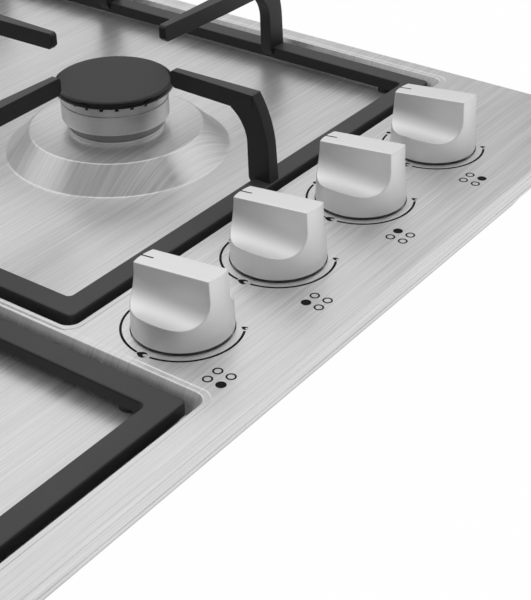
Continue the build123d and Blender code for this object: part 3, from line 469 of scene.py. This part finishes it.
# %% The panel's driving sizes
panel_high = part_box("top_panel")[1]
HALF_X, HALF_Y = panel_high.x, panel_high.y
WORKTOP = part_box("worktop_seal")[0].z
CONE_TOP = panel_high.z
CONE_RISE, RECESS_DROP = 2.5 * mm, 8.6 * mm
TOP = CONE_TOP - CONE_RISE
FLOOR = TOP - RECESS_DROP
PANEL_CORNER, SHEET = 5 * mm, 1 * mm
RIM_FLAT, RIM_STEP, RIM_STEP_DROP, RIM_BEVEL_DROP = 5.0 * mm, 4.4 * mm, 0.42 * mm, 2.3 * mm
RIM_ROLL, RIM_FILLETS = 0.8 * mm, [0.15 * mm, 0.3 * mm, 0.6 * mm]
WALL_RUN, MOUTH_CORNER, MOUTH_EDGE, FOOT_FILLET = 5 * mm, 5.5 * mm, 0.8 * mm, 2 * mm
MOUTH_SHIFT, BEAD_OUTER, BEAD_INNER, BEAD_DROP = 0.4 * mm, 2.7 * mm, 2.1 * mm, 0.16 * mm
SUPPORT_GAP, BEAD_FILLET = 6.5 * mm, 0.3 * mm
CONE_FOOT, CONE_SHOULDER, CONE_FILLET = 27.9 * mm, 16 * mm, 1.5 * mm
PANEL_HOLE, PROBE_HOLE, STEM_HOLE = 15.8 * mm, 3.2 * mm, 5.5 * mm
DISH_GAP, DISH_DEPTH, DISH_EDGE = 0.2 * mm, 4.2 * mm, 0.1 * mm
CAP_REACH = 2.8 * mm
PROBE_REACH, PROBE_TURNS = CAP_REACH + 1.3 * mm, np.radians([15, 57])
print("panel top", round(TOP / mm, 2), "recess floor", round(FLOOR / mm, 2))


def plan_centre(node):
    """Middle of a node's box, seen from above."""
    low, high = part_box(node)
    return np.array([(low.x + high.x) / 2, (low.y + high.y) / 2])


def half_width(node):
    """Half of a node's size along X."""
    low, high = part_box(node)
    return (high.x - low.x) / 2


SIDES = ("left", "right")
BURNERS = ("front_left", "back_left", "back_right", "front_right")
KNOBS = [plan_centre(f"control_knob_{k}") for k in range(1, 5)]
DIAL = half_width("control_knob_1")


def support_frame(side):
    """Centre and half sizes of a pan support in plan."""
    low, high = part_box(side + "_pan_support")
    return plan_centre(side + "_pan_support"), (high.x - low.x) / 2, (high.y - low.y) / 2


def crown_place(name):
    """Plan centre and radius of a burner's crown."""
    node = name + "_burner_crown"
    return plan_centre(node), half_width(node)


def probe_places(name):
    """Where the spark electrode and the thermocouple stand beside a burner's cap."""
    centre, radius = crown_place(name)
    way = np.stack([np.cos(PROBE_TURNS), np.sin(PROBE_TURNS)], axis=1)
    return centre + (radius + PROBE_REACH) * way


# %% Rim, recesses, cones and knob dishes
def rim():
    """Edge profile carried round the panel: level, a small step, down an easy bevel, round
    the edge and in again to the worktop."""
    corners = [(RIM_FLAT + 1.5 * mm, TOP), (RIM_FLAT, TOP), (RIM_STEP, TOP - RIM_STEP_DROP),
               (0, TOP - RIM_BEVEL_DROP), (RIM_ROLL, WORKTOP)]
    profile = filleted(corners, RIM_FILLETS)[1:]
    rings = [lift(loop((0, 0), HALF_X - inset, HALF_Y - inset, PANEL_CORNER - inset / 2), height)
             for inset, height in profile]
    return rings[0][:, :2], patch(np.stack(rings), wrap=True, flip=True)


def recess_wall(side):
    """Wall of a recess: a shallow bead round its mouth, down the slope, into the floor."""
    centre, half_x, half_y = support_frame(side)
    centre = centre + [0, MOUTH_SHIFT]
    half_x, half_y = half_x + SUPPORT_GAP, half_y + SUPPORT_GAP - MOUTH_SHIFT
    lip = TOP - BEAD_DROP
    corners = [(-5 * mm, TOP), (-BEAD_OUTER, TOP), (-BEAD_INNER, lip), (0, lip),
               (WALL_RUN, FLOOR), (WALL_RUN + 4 * mm, FLOOR)]
    profile = filleted(corners, [BEAD_FILLET, BEAD_FILLET, MOUTH_EDGE, FOOT_FILLET])[1:-1]
    rings = [lift(loop(centre, half_x - inset, half_y - inset, MOUTH_CORNER - inset / 2), height)
             for inset, height in profile]
    return rings[0][:, :2], rings[-1][:, :2], patch(np.stack(rings), wrap=True)


def cone(name):
    """Raised cone: round up from the floor, up the slope, round onto its level top."""
    centre, radius = crown_place(name)
    foot, shoulder = radius + CONE_FOOT, radius + CONE_SHOULDER
    corners = [(foot + 5 * mm, FLOOR), (foot, FLOOR), (shoulder, CONE_TOP), (PANEL_HOLE, CONE_TOP)]
    profile = filleted(corners, [FOOT_FILLET, CONE_FILLET])[1:-1]
    edge = circle(centre, profile[-1][0])
    holes = [circle(centre, PANEL_HOLE, 48)]
    holes += [circle(place, PROBE_HOLE, 24) for place in probe_places(name)]
    slope = revolved(centre, profile)
    return circle(centre, profile[0][0]), [slope, flat(edge, holes, CONE_TOP)]


def knob_dish(place):
    """Shallow round well under a knob, down to the hole for the tap's stem."""
    radius = DIAL + DISH_GAP
    low = TOP - DISH_DEPTH
    corners = [(radius + 3 * mm, TOP), (radius, TOP), (radius, low), (STEM_HOLE, low)]
    profile = filleted(corners, [DISH_EDGE, 1 * mm], 3)[1:]
    return circle(place, profile[0][0]), revolved(place, profile)


def top_panel():
    """One welded skin: level regions between the swept and turned walls."""
    outline, patches = rim()
    patches, openings = [patches], []
    for side in SIDES:
        mouth, foot, wall = recess_wall(side)
        patches.append(wall)
        openings.append(mouth)
        feet = []
        for name in BURNERS:
            if name.endswith(side):
                ring, parts = cone(name)
                feet.append(ring)
                patches += parts
        patches.append(flat(foot, feet, FLOOR))
    for place in KNOBS:
        ring, well = knob_dish(place)
        openings.append(ring)
        patches.append(well)
    patches.append(flat(outline, openings, TOP))
    skin = piece("brushed_top_panel", patches, finish["stainless_steel"])
    return shade(thicken(skin, SHEET))


panel = finished(top_panel(), "root", "top_panel")

# %% [markdown]
# ## Cast-iron pan supports
# A pan support is cast in one piece: a flat frame, posts that stand on it and fingers that
# reach toward the burner. The frame is a section carried round a rounded rectangle. Each
# post with its finger is a section carried from the tip, along the finger and down the post,
# between an outer and an inner curve. A bevel then rounds all edges alike, as a casting's.

# %% Sections carried along a path
FINGER_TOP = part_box("right_pan_support")[1].z
BAR, BAR_HEIGHT = 10.5 * mm, 6 * mm
BAR_SPREAD, BAR_CHAMFER, BAR_CORNER = 0.7 * mm, 0.6 * mm, 2.4 * mm
UNDER = FINGER_TOP - 8.4 * mm
WIDE, NARROW, TAPER = 3.3 * mm, 2.0 * mm, 47 * mm
TIP_GAP = CAP_REACH + 8.0 * mm
BRIDGE_SETBACK = {"left": 231 * mm, "right": 184 * mm}


def arc_through(start, middle, end, steps=9):
    """Circular arc through three points: its centre is as far from all of them."""
    start, middle, end = (np.array(p, float) for p in (start, middle, end))
    lines = np.array([middle - start, end - middle])
    centre = np.linalg.solve(lines, [(middle @ middle - start @ start) / 2,
                                     (end @ end - middle @ middle) / 2])
    radius = np.linalg.norm(start - centre)
    first, last = (math.atan2(*(p - centre)[::-1]) for p in (start, end))
    turn = (last - first + math.pi) % (2 * math.pi) - math.pi
    angle = first + turn * np.linspace(0, 1, steps)
    return centre + radius * np.stack([np.cos(angle), np.sin(angle)], axis=1)


def beam(upper, lower, half):
    """Closed bar between an upper and a lower curve (reach, height), as wide as half each
    side. Its four corners run along the curves, and both ends are closed."""
    corners = [(upper, half), (upper, -half), (lower, -half), (lower, half)]
    rings = np.stack([np.column_stack([c[:, 0], h, c[:, 1]]) for c, h in corners], axis=1)
    points, faces = patch(rings, wrap=True)
    last = 4 * (len(upper) - 1)
    ends = np.array([[3, 2, 1, 0], [last, last + 1, last + 2, last + 3]])
    return points, np.concatenate([faces, ends])


def turned_to(points, centre, angle):
    """Points made along +X of an axis, turned about it and moved to its place."""
    turn = np.array([[math.cos(angle), math.sin(angle)], [-math.sin(angle), math.cos(angle)]])
    return np.column_stack([points[:, :2] @ turn + centre, points[:, 2]])


def post_curves(reach):
    """Outer and inner side of a post: an arc from the finger's level down to the post, then
    straight into the bar."""
    outer = arc_through((reach - 9.8 * mm, FINGER_TOP), (reach - 3.6 * mm, TOP + 27 * mm),
                        (reach - 1.3 * mm, TOP + 15 * mm))
    inner = arc_through((reach - 22 * mm, UNDER), (reach - 15 * mm, TOP + 24.5 * mm),
                        (reach - 12.8 * mm, TOP + 15 * mm))
    low = TOP - BAR_HEIGHT + 1 * mm
    outer_foot = [(reach - 0.2 * mm, TOP), (reach - 1 * mm, low)]
    inner_foot = [(reach - 12.3 * mm, TOP), (reach - BAR + 1 * mm, low)]
    return np.concatenate([outer, outer_foot]), np.concatenate([inner, inner_foot])


def finger(tip, reach):
    """Finger from its tip out to the post at reach, and the post down into the bar."""
    outer, inner = post_curves(reach)
    upper = np.concatenate([
        [(tip, FINGER_TOP - 1.2 * mm), (tip + 1.2 * mm, FINGER_TOP), (tip + TAPER, FINGER_TOP)],
        outer,
    ])
    lower = np.concatenate([
        [(tip, UNDER + 2 * mm), (tip + 2 * mm, UNDER), (tip + TAPER, UNDER)],
        inner,
    ])
    middle = (upper[:, 0] + lower[:, 0]) / 2
    half = np.interp(middle, [tip, tip + TAPER], [NARROW, WIDE])
    return beam(upper, lower, half)


def bridge(reach):
    """Beam from post to post: the curves of one post and their mirror images, end to end."""
    upper, lower = (np.concatenate([curve[::-1] * [-1, 1], curve]) for curve in post_curves(reach))
    return beam(upper, lower, np.full(len(upper), WIDE))


def shared_finger(front_tip, back_tip):
    """Straight finger between two burners along Y, a hair lower than the bridge it crosses."""
    along = np.array([front_tip, front_tip + 1.2 * mm, front_tip + TAPER,
                      back_tip - TAPER, back_tip - 1.2 * mm, back_tip])
    top = np.array([-1.2 * mm, 0, 0, 0, 0, -1.2 * mm]) + FINGER_TOP - 0.02 * mm
    under = np.array([2 * mm, 0, 0, 0, 0, 2 * mm]) + UNDER + 0.02 * mm
    half = np.array([NARROW, NARROW, WIDE, WIDE, NARROW, NARROW])
    lower_along = along + np.array([0, 0.8, 0, 0, -0.8, 0]) * mm
    return beam(np.column_stack([along, top]), np.column_stack([lower_along, under]), half)


# %% Both pan supports
def frame_bar(centre, half_x, half_y):
    """Section of the frame's bar carried round its rounded rectangle."""
    low, shoulder = TOP - BAR_HEIGHT, TOP - BAR_CHAMFER
    half_x, half_y = half_x + BAR_SPREAD, half_y + BAR_SPREAD
    section = [(0, low), (0, shoulder), (BAR_CHAMFER, TOP), (BAR - BAR_CHAMFER, TOP),
               (BAR, shoulder), (BAR, low)]
    rings = np.stack([
        lift(loop(centre, half_x - inset, half_y - inset, BAR_CORNER), height)
        for inset, height in section + section[:1]
    ])
    return patch(rings, wrap=True)


def pan_support(side):
    """Frame, six posts with fingers, the bridge, and the finger that crosses it."""
    centre, half_x, half_y = support_frame(side)
    patches = [frame_bar(centre, half_x, half_y)]
    tips = {}
    for row, end in (("front", -1), ("back", 1)):
        place, radius = crown_place(row + "_" + side)
        tip = radius + TIP_GAP
        tips[row] = place[1] - end * tip
        setback = half_y - end * (place[1] - centre[1])
        for angle, reach in ((0, half_x), (math.pi, half_x), (end * math.pi / 2, setback)):
            points, faces = finger(tip, reach)
            patches.append((turned_to(points, place, angle), faces))
    points, faces = bridge(half_x)
    crossing = [centre[0], centre[1] + half_y - BRIDGE_SETBACK[side]]
    patches.append((turned_to(points, crossing, 0), faces))
    points, faces = shared_finger(tips["front"], tips["back"])
    along = np.column_stack([centre[0] - points[:, 1], points[:, 0], points[:, 2]])
    patches.append((along, faces))
    cast = piece(side + "_iron_support", patches, finish["cast_iron"])
    return soften(cast, 0.45 * mm, 2, 28)


for side in SIDES:
    made = finished(pan_support(side), side + "_support", side + "_pan_support")

# %% [markdown]
# ## Burner crowns and caps
# The crown is a turned and slotted aluminium ring, so it is a surface of revolution whose
# top edge drops into a port at regular angles. The cap is a pressed and enamelled lid with
# a soft rim, and the cup under the crown ends in a thin bright flange. All keep their round
# shape at any zoom because they have many columns.

# %% Crowns
PORT_WIDTH, PORT_DEPTH, PORT_PITCH = 1.8 * mm, 2.9 * mm, 7.3 * mm
PORT_TURN = math.radians(-5.1)
CROWN_WALL, CROWN_LOWER, CROWN_SEAT = 3 * mm, 9.4 * mm, 5.6 * mm
SPIGOT, SPIGOT_WALL, SPIGOT_REACH = 12 * mm, 1.8 * mm, 9 * mm
CAP_ROUND, CAP_FALL, CAP_LIP, CAP_BOSS = 2.6 * mm, 1.7 * mm, 0.6 * mm, 3.3 * mm


def crown(name):
    """Turned ring with slots: columns come in pairs at each slot's sides, and inside a slot
    the rows above the slot's floor fall back onto it."""
    centre, radius = crown_place(name)
    low, high = CONE_TOP + CROWN_SEAT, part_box(name + "_burner_crown")[1].z
    ports = round(2 * math.pi * radius / PORT_PITCH)
    half = PORT_WIDTH / 2 / radius
    pitch = 2 * math.pi / ports
    gaps = np.linspace(half, pitch - half, 5)
    within = np.concatenate([[-half, 0.0, half], gaps])
    angle = (np.arange(ports)[:, None] * pitch + within).ravel() + PORT_TURN
    slot = np.tile([True, True, True, False, False, False, False, False], ports)
    split, floor = low + CROWN_LOWER, high - PORT_DEPTH
    inner = radius - CROWN_WALL
    top_radius = radius - 0.7 * mm
    at_floor = np.interp(floor, [split, high], [radius - 0.2 * mm, top_radius])
    rows = [
        (SPIGOT, low - SPIGOT_REACH), (SPIGOT, low), (radius - 0.8 * mm, low),
        (radius - 0.2 * mm, low + 0.25 * mm), (radius, low + 0.9 * mm),
        (radius, split - 0.35 * mm), (radius - 0.12 * mm, split - 0.08 * mm),
        (radius - 0.65 * mm, split), (radius - 0.65 * mm, split + 0.22 * mm),
        (radius - 0.25 * mm, split + 0.3 * mm), (at_floor, floor),
        (top_radius + 0.1 * mm, high - 0.3 * mm), (top_radius - 0.25 * mm, high),
        (inner, high), (inner, floor), (inner, low + CROWN_WALL),
        (SPIGOT - SPIGOT_WALL, low + CROWN_WALL), (SPIGOT - SPIGOT_WALL, low - SPIGOT_REACH),
        (SPIGOT, low - SPIGOT_REACH),
    ]
    reach = np.array([row[0] for row in rows])[:, None] * np.ones(len(angle))
    height = np.array([row[1] for row in rows])[:, None] * np.ones(len(angle))
    above = (height > floor) & slot
    reach = np.where(above & (reach > radius - 2 * mm), at_floor, reach)
    height = np.where(above, floor, height)
    points = np.stack([centre[0] + reach * np.cos(angle), centre[1] + reach * np.sin(angle),
                       height], axis=-1)
    made = piece(name + "_slotted_crown", [patch(points, wrap=True)], finish["crown_aluminium"])
    return shade(made, 35)


def cap(name):
    """Enamelled lid: level top, a quarter ellipse down the rim, drip lip, and the boss that
    centres it."""
    centre, crown_radius = crown_place(name)
    low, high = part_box(name + "_burner_cap")
    radius, seat = crown_radius + CAP_REACH, high.z - CAP_ROUND
    lip, inner = seat - CAP_LIP, crown_radius + CAP_LIP
    boss = crown_radius - CAP_BOSS
    rim_turn = np.linspace(0, math.pi / 2, 9)
    level = radius - CAP_ROUND
    rim_line = [(level + CAP_ROUND * math.sin(a), high.z - CAP_FALL * (1 - math.cos(a)))
                for a in rim_turn]
    profile = [(boss - 2 * mm, seat - 0.2 * mm), (boss - 2 * mm, low.z), (boss, low.z),
               (boss, seat), (inner, seat), (inner, lip), (radius - 0.4 * mm, lip),
               (radius, lip + 0.4 * mm)]
    profile += rim_line[::-1] + [(0.5 * level, high.z)]
    top = lift(circle(centre, 0.5 * level), high.z)
    well = lift(circle(centre, boss - 2 * mm), seat - 0.2 * mm)
    lids = [patch(np.stack([ring, np.broadcast_to(middle, ring.shape)]), wrap=True, flip=under)
            for ring, middle, under in ((top, [*centre, high.z], False),
                                        (well, [*centre, seat - 0.2 * mm], True))]
    made = piece(name + "_enamel_cap", [revolved(centre, profile)] + lids, finish["cap_enamel"])
    return shade(made, 50)


def foot_ring(name):
    """Thin bright flange round the foot of the burner's cup: up, over and down to the panel."""
    centre, radius = crown_place(name)
    inner, outer = radius - 3.3 * mm, radius - 2.3 * mm
    high = CONE_TOP + 1.5 * mm
    profile = [(inner, CONE_TOP), (outer, CONE_TOP), (outer, high - 0.3 * mm),
               (outer - 0.3 * mm, high), (inner, high), (inner, CONE_TOP)]
    made = piece(name + "_foot_ring", [revolved(centre, profile)], finish["crown_aluminium"])
    return shade(made, 50)


for name in BURNERS:
    finished(foot_ring(name), "root")
    ring = finished(crown(name), "crown_" + name, name + "_burner_crown")
    lid = finished(cap(name), "cap_" + name, name + "_burner_cap")

# %% [markdown]
# ## Knobs
# Each knob is a tapered round body whose two sides are scooped away to leave a grip. Cutting
# a cone with cylinders would leave ragged faces, so every surface is ruled instead: the
# scoop is straight lines along Y between two points of the cone, and the collar is straight
# lines from the scoop's lip down to the base.

# %% One knob
KNOB_FALL = math.tan(math.radians(6.16))
GRIP, SCOOP, SCOOP_LIFT, KNOB_WALL, CAVITY = 5.8 * mm, 9.2 * mm, 18.9 * mm, 2.3 * mm, 8 * mm
KNOB_MIDDLE, KNOB_TAPER = 25.8 * mm, 1.05 / 26.6
HUB, BORE, BORE_DEPTH = 6.5 * mm, 4 * mm, 16 * mm


def cone_radius(height):
    """Radius of the knob's cone at a height over its base."""
    return DIAL - KNOB_TAPER * height


def depth_at(x, height):
    """How far the cone reaches along Y at x."""
    return np.sqrt(np.maximum(cone_radius(height) ** 2 - x ** 2, 0))


def lid_height(y):
    """Height of the sloping top at y."""
    return KNOB_MIDDLE - KNOB_FALL * y


def lid_edge(x, sign):
    """Where the sloping top meets the cone at x, found by repeating depth and height."""
    y = sign * depth_at(x, KNOB_MIDDLE)
    for _ in range(6):
        y = sign * depth_at(x, lid_height(y))
    return np.stack([x, y, lid_height(y)], axis=1)


def scoop_lip():
    """Lip of the scoop on the cone. Its first part takes even steps round the scoop's
    circle, and its second even angles a round the knob, where x = R cos a."""
    swing = np.radians(np.arange(0, 89, 8))
    x = GRIP + SCOOP - SCOOP * np.cos(swing)
    height = SCOOP_LIFT - SCOOP * np.sin(swing)
    last = math.atan2(depth_at(x, height)[-1], x[-1])
    angle = np.linspace(last, 0, 11)[1:]
    low = np.full(len(angle), SCOOP_LIFT - SCOOP)
    for _ in range(40):
        far = cone_radius(low) * np.cos(angle)
        low = SCOOP_LIFT - np.sqrt(SCOOP ** 2 - (far - GRIP - SCOOP) ** 2)
    x, height = np.concatenate([x, far]), np.concatenate([height, low])
    y = depth_at(x, height)
    y[-1] = 0
    return np.stack([x, y, height], axis=1)


def mirrored(points, x=1, y=1):
    """Points turned over about the knob's middle planes."""
    return points * [x, y, 1]


def knob_patches():
    """All surfaces of a knob about its own axis, base at height 0."""
    across = np.linspace(-GRIP, GRIP, 9)
    near, far = lid_edge(across, -1), lid_edge(across, 1)
    patches = [patch(np.stack([near, far]))]
    for y, edge in ((-1, near), (1, far)):
        shoulder = np.stack([across, y * depth_at(across, SCOOP_LIFT), np.full(9, SCOOP_LIFT)], axis=1)
        patches.append(patch(np.stack([shoulder, edge]), flip=y > 0))
    lip = scoop_lip()
    for x in (1, -1):
        side = lip * [x, 1, 1]
        patches.append(patch(np.stack([mirrored(side, y=-1), side]), flip=x < 0))
        column = 8 if x > 0 else 0
        wall = np.stack([[near[column], far[column]], [mirrored(side, y=-1)[0], side[0]]])
        patches.append(patch(wall, flip=x > 0))
    front = np.stack([across, depth_at(across, SCOOP_LIFT), np.full(9, SCOOP_LIFT)], axis=1)
    around = np.concatenate([lip[::-1], front[::-1][1:-1], mirrored(lip, x=-1)])
    around = np.concatenate([around, mirrored(around, y=-1)[::-1][1:-1]])
    foot = around[:, :2] / np.linalg.norm(around[:, :2], axis=1, keepdims=True)
    rings = [around] + [lift(foot * radius, height) for radius, height in (
        (cone_radius(0), 0), (DIAL - KNOB_WALL, 0), (DIAL - KNOB_WALL, CAVITY), (HUB, CAVITY),
        (HUB, 0), (BORE, 0), (BORE, BORE_DEPTH), (0, BORE_DEPTH))]
    patches.append(patch(np.stack(rings), wrap=True, flip=True))
    return patches


def knob(number):
    """The knob moved to its place, with soft edges."""
    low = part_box(f"control_knob_{number}")[0].z
    place = np.array([*KNOBS[number - 1], low])
    patches = [(points + place, faces) for points, faces in knob_patches()]
    made = piece(f"satin_knob_{number}", patches, finish["knob_satin"])
    return soften(made, 0.4 * mm, 3, 32)


for number in range(1, 5):
    made = finished(knob(number), f"knob_{number}", f"control_knob_{number}")

# %% [markdown]
# ## Printed marks
# The dials and the burner signs are printed on the real panel. Here each is a flat shape a
# few hundredths of a millimetre above the steel: strips along circles, discs and flames.
# Shapes keep a crisp edge at any distance, which a painted texture wouldn't.

# %% Shapes in the plane
PRINT = TOP + 0.03 * mm
DIAL_RING, DIAL_LINE, DIAL_GAP = 23.5 * mm, 1.0 * mm, 0.13
SIGN_RING, SIGN_LINE, SIGN_STEP, SIGN_SIDE = 2.05 * mm, 0.70 * mm, 3.0 * mm, 18.6 * mm
SIGN_FRONT = -232.7 * mm
BIG_FLAME, SMALL_FLAME = math.pi, math.radians(-59)


def strip(inner, outer, wrap=False):
    """Flat band between two plan lines, facing up."""
    return patch(np.stack([lift(outer, PRINT), lift(inner, PRINT)]), wrap=wrap)


def arc_strip(centre, radius, width, first, last):
    """Band along a circle from one angle to another, anticlockwise."""
    angle = np.linspace(first, last, max(4, int((last - first) / 0.05)))
    way = np.stack([np.cos(angle), np.sin(angle)], axis=1)
    return strip(centre + (radius - width / 2) * way, centre + (radius + width / 2) * way)


def ring_strip(centre, radius, width):
    """Whole printed circle."""
    return strip(circle(centre, radius - width / 2, 40), circle(centre, radius + width / 2, 40), True)


def dot(centre, radius):
    """Filled printed circle."""
    return strip(circle(centre, 0, 40), circle(centre, radius, 40), True)


def flame(centre, size):
    """Drop that points to the back, with a small drop cut into its foot: for t round a
    turn, across = sin t sin(t/2)^0.9 and along = cos t, and half the height is the size."""
    t = np.linspace(0, 2 * math.pi, 41)[:-1]
    drop = np.stack([-0.97 * np.sin(t) * np.abs(np.sin(t / 2)) ** 0.9, np.cos(t)], axis=1)
    hollow = drop * [0.46, 0.40] + [0.10, -0.58]
    return strip(centre + hollow * size, centre + drop * size, True)


def on_dial(place, angle, reach=DIAL_RING):
    """Point at an angle and a distance from a knob's axis."""
    return place + reach * np.array([math.cos(angle), math.sin(angle)])


def dial_marks(place):
    """Off dot, big flame and small flame joined by the ring that the knob sweeps."""
    off = math.pi / 2
    end = SMALL_FLAME + 2 * math.pi - 0.6 * DIAL_GAP
    return [
        dot(on_dial(place, off, DIAL_RING + 0.3 * mm), 1.1 * mm),
        arc_strip(place, DIAL_RING, DIAL_LINE, off + 0.7 * DIAL_GAP, BIG_FLAME - DIAL_GAP),
        flame(on_dial(place, BIG_FLAME) + [0, 0.6 * mm], 2.3 * mm),
        arc_strip(place, DIAL_RING, DIAL_LINE, BIG_FLAME + DIAL_GAP, end),
        flame(on_dial(place, SMALL_FLAME) + [0, 0.4 * mm], 1.4 * mm),
    ]


def burner_sign(place, filled):
    """Four small circles laid out like the burners, with the knob's own one filled."""
    marks = []
    for number, (x, y) in enumerate(((-1, -1), (-1, 1), (1, 1), (1, -1))):
        centre = np.array([place[0] - SIGN_SIDE + x * SIGN_STEP, SIGN_FRONT + y * SIGN_STEP])
        marks.append(dot(centre, SIGN_RING) if number == filled
                     else ring_strip(centre, SIGN_RING - SIGN_LINE / 2, SIGN_LINE))
    return marks


marks = []
for number, place in enumerate(KNOBS):
    marks += dial_marks(place) + burner_sign(place, number)
finished(piece("printed_marks", marks, finish["printed_black"]), "root")

# %% Line on each knob
LINE_WIDTH, LINE_START, LINE_END = 0.7 * mm, 12.9 * mm, 18.9 * mm


def knob_line(number):
    """Dark line on the back end of the sloping top, which points at the dial."""
    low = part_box(f"control_knob_{number}")[0].z
    x, y = KNOBS[number - 1]
    half, near, far = LINE_WIDTH / 2, LINE_START, LINE_END
    plan = np.array([[[-half, near], [half, near]], [[-half, far], [half, far]]])
    height = low + lid_height(plan[..., 1]) + 0.03 * mm
    points = np.concatenate([plan + [x, y], height[..., None]], axis=-1)
    return piece(f"knob_line_{number}", [patch(points)], finish["printed_black"])


for number in range(1, 5):
    finished(knob_line(number), f"knob_{number}")

# %% [markdown]
# ## The works under the panel
# Tubes, taps, leads and clamps keep the shapes of the construction model. They only need
# their metals, plastics and rubbers, found by the words in their names.

# %% Finishes of the other pieces
FINISH_OF = {
    "tray": "galvanised_steel", "clamps": "galvanised_steel", "seal": "seal_foam",
    "fixings": "zinc_steel", "screws": "zinc_steel", "spring": "spring_steel",
    "cup": "cup_aluminium", "feet": "rubber_black", "stem": "zinc_steel",
    "plug": "brass", "body": "brass", "bonnets": "zinc_steel", "injectors": "brass",
    "electrodes": "ceramic_white", "thermocouples": "spring_steel", "magnet": "brass",
    "rail": "galvanised_steel", "supply": "zinc_steel", "inlet": "brass",
    "feed_pipes": "pipe_aluminium", "nuts": "brass", "spark_leads": "lead_silicone",
    "wiring": "lead_pvc", "switches": "plastic_black", "module": "plastic_black",
    "terminal": "plastic_white", "grommet": "rubber_black", "tray_fixings": "zinc_steel",
    "stem_spring": "spring_steel", "knob": "knob_satin", "crown": "crown_aluminium",
    "cap": "cap_enamel", "support": "cast_iron", "support_feet": "rubber_black",
    "panel": "stainless_steel",
}


def finish_name(node):
    """Finish of the longest word of the list that the node's name holds."""
    words = [word for word in FINISH_OF if word in node]
    return FINISH_OF[max(words, key=len)]


for node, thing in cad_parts.items():
    thing.data.materials.clear()
    thing.data.materials.append(finish[finish_name(node)])
print({node: finish_name(node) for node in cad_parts})

# %% [markdown]
# ## Springs under the knobs
# The spring round each tap's stem rests on the bonnet and lifts the knob. When the knob is
# pushed, the real coil closes up. Here each spring keeps the construction model's shape and
# only gets a mesh of its own.

# %% Springs with meshes of their own
for number in range(1, 5):
    spring = f"stem_spring_{number}"
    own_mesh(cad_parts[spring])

# %% [markdown]
# ## Floor, light and camera
# The floor is white to the camera and to mirrors and keeps a soft shadow. The light is a
# plain bright room: even for matt surfaces, and for polished ones brighter overhead than
# near the horizon, which is what gives steel its shading. A room is made this way, and not
# with lamps, because brushed steel shows mostly what stands round it.

# %% Floor
FLOOR_REACH, FLOOR_WHITE = 6.0, 0.985


def floor():
    """Large white square that the tray stands on."""
    mesh = bpy.data.meshes.new("floor")
    reach = FLOOR_REACH
    mesh.from_pydata([(-reach, -reach, 0), (reach, -reach, 0), (reach, reach, 0), (-reach, reach, 0)],
                     [], [(0, 1, 2, 3)])
    made = bpy.data.objects.new("floor", mesh)
    bpy.context.scene.collection.objects.link(made)
    paint, graph = material("floor_white")
    matt = graph.add("ShaderNodeBsdfDiffuse", {}, {"Color": grey(0.8)})
    glow = graph.add("ShaderNodeEmission", {}, {"Color": grey(1.0), "Strength": 1.0})
    seen = [graph.add("ShaderNodeLightPath", {}, {}, name)
            for name in ("Is Camera Ray", "Is Glossy Ray", "Is Transmission Ray")]
    share = (seen[0] + seen[1] + seen[2]) * FLOOR_WHITE
    mixed = graph.add("ShaderNodeMixShader", {}, {0: share, 1: matt, 2: glow})
    graph.add("ShaderNodeOutputMaterial", {}, {"Surface": mixed}, None)
    mesh.materials.append(paint)


floor()

# %% Room light
WINDOW = math.radians(54)


def room():
    """World light by ray: white to the camera, even to matt surfaces. Polished ones see
    walls that brighten with height, sooner on the far left where the window is, a dim
    stretch right of it, and a dark patch of ceiling over the camera."""
    world = bpy.data.worlds.new("soft_room")
    bpy.context.scene.world = world
    world.use_nodes = True
    graph = Graph(world.node_tree)
    way = graph.add("ShaderNodeTexCoord", {}, {}, "Generated")
    x, y, z = (graph.add("ShaderNodeSeparateXYZ", {}, {0: way}, axis) for axis in range(3))
    far = x * math.sin(WINDOW) + y * math.cos(WINDOW)
    right = x * math.cos(WINDOW) - y * math.sin(WINDOW)
    dim = graph.smooth(right, -0.25, 0.3) * (1 - graph.smooth(right, 0.35, 0.6))
    height = z + far * 0.24 - dim * 0.28 - 0.05
    walls = graph.smooth(height, 0.26, 0.66) * 0.72 + 0.38
    ceiling = graph.smooth(z, 0.48, 0.80) * (1 - graph.smooth(far, -0.30, 0.15))
    polished = walls - ceiling * (walls - 0.24)
    camera, glossy = (graph.add("ShaderNodeLightPath", {}, {}, name)
                      for name in ("Is Camera Ray", "Is Glossy Ray"))
    strength = camera + glossy * polished + (1 - camera) * (1 - glossy) * 0.62
    light = graph.add("ShaderNodeBackground", {}, {"Color": grey(1.0), "Strength": strength})
    graph.add("ShaderNodeOutputWorld", {}, {"Surface": light}, None)


room()

# %% Camera
HEADING, PITCH, ROLL = math.radians(53.764), math.radians(-32.706), math.radians(-0.462)
STAND, LENS, SENSOR = (-309.2 * mm, -486.6 * mm, 346.5 * mm), 84.52, 36


def camera():
    """Camera turned by heading, then pitch, then roll, as a head on a tripod."""
    data = bpy.data.cameras.new("camera")
    data.lens, data.sensor_width = LENS, SENSOR
    made = bpy.data.objects.new("camera", data)
    upright = Matrix.Rotation(math.pi / 2, 4, "X")
    turn = (Matrix.Rotation(-HEADING, 4, "Z") @ upright @ Matrix.Rotation(PITCH, 4, "X")
            @ Matrix.Rotation(ROLL, 4, "Z"))
    made.matrix_world = Matrix.Translation(STAND) @ turn
    bpy.context.scene.collection.objects.link(made)
    bpy.context.scene.camera = made


camera()
bpy.context.scene.view_settings.view_transform = "Standard"
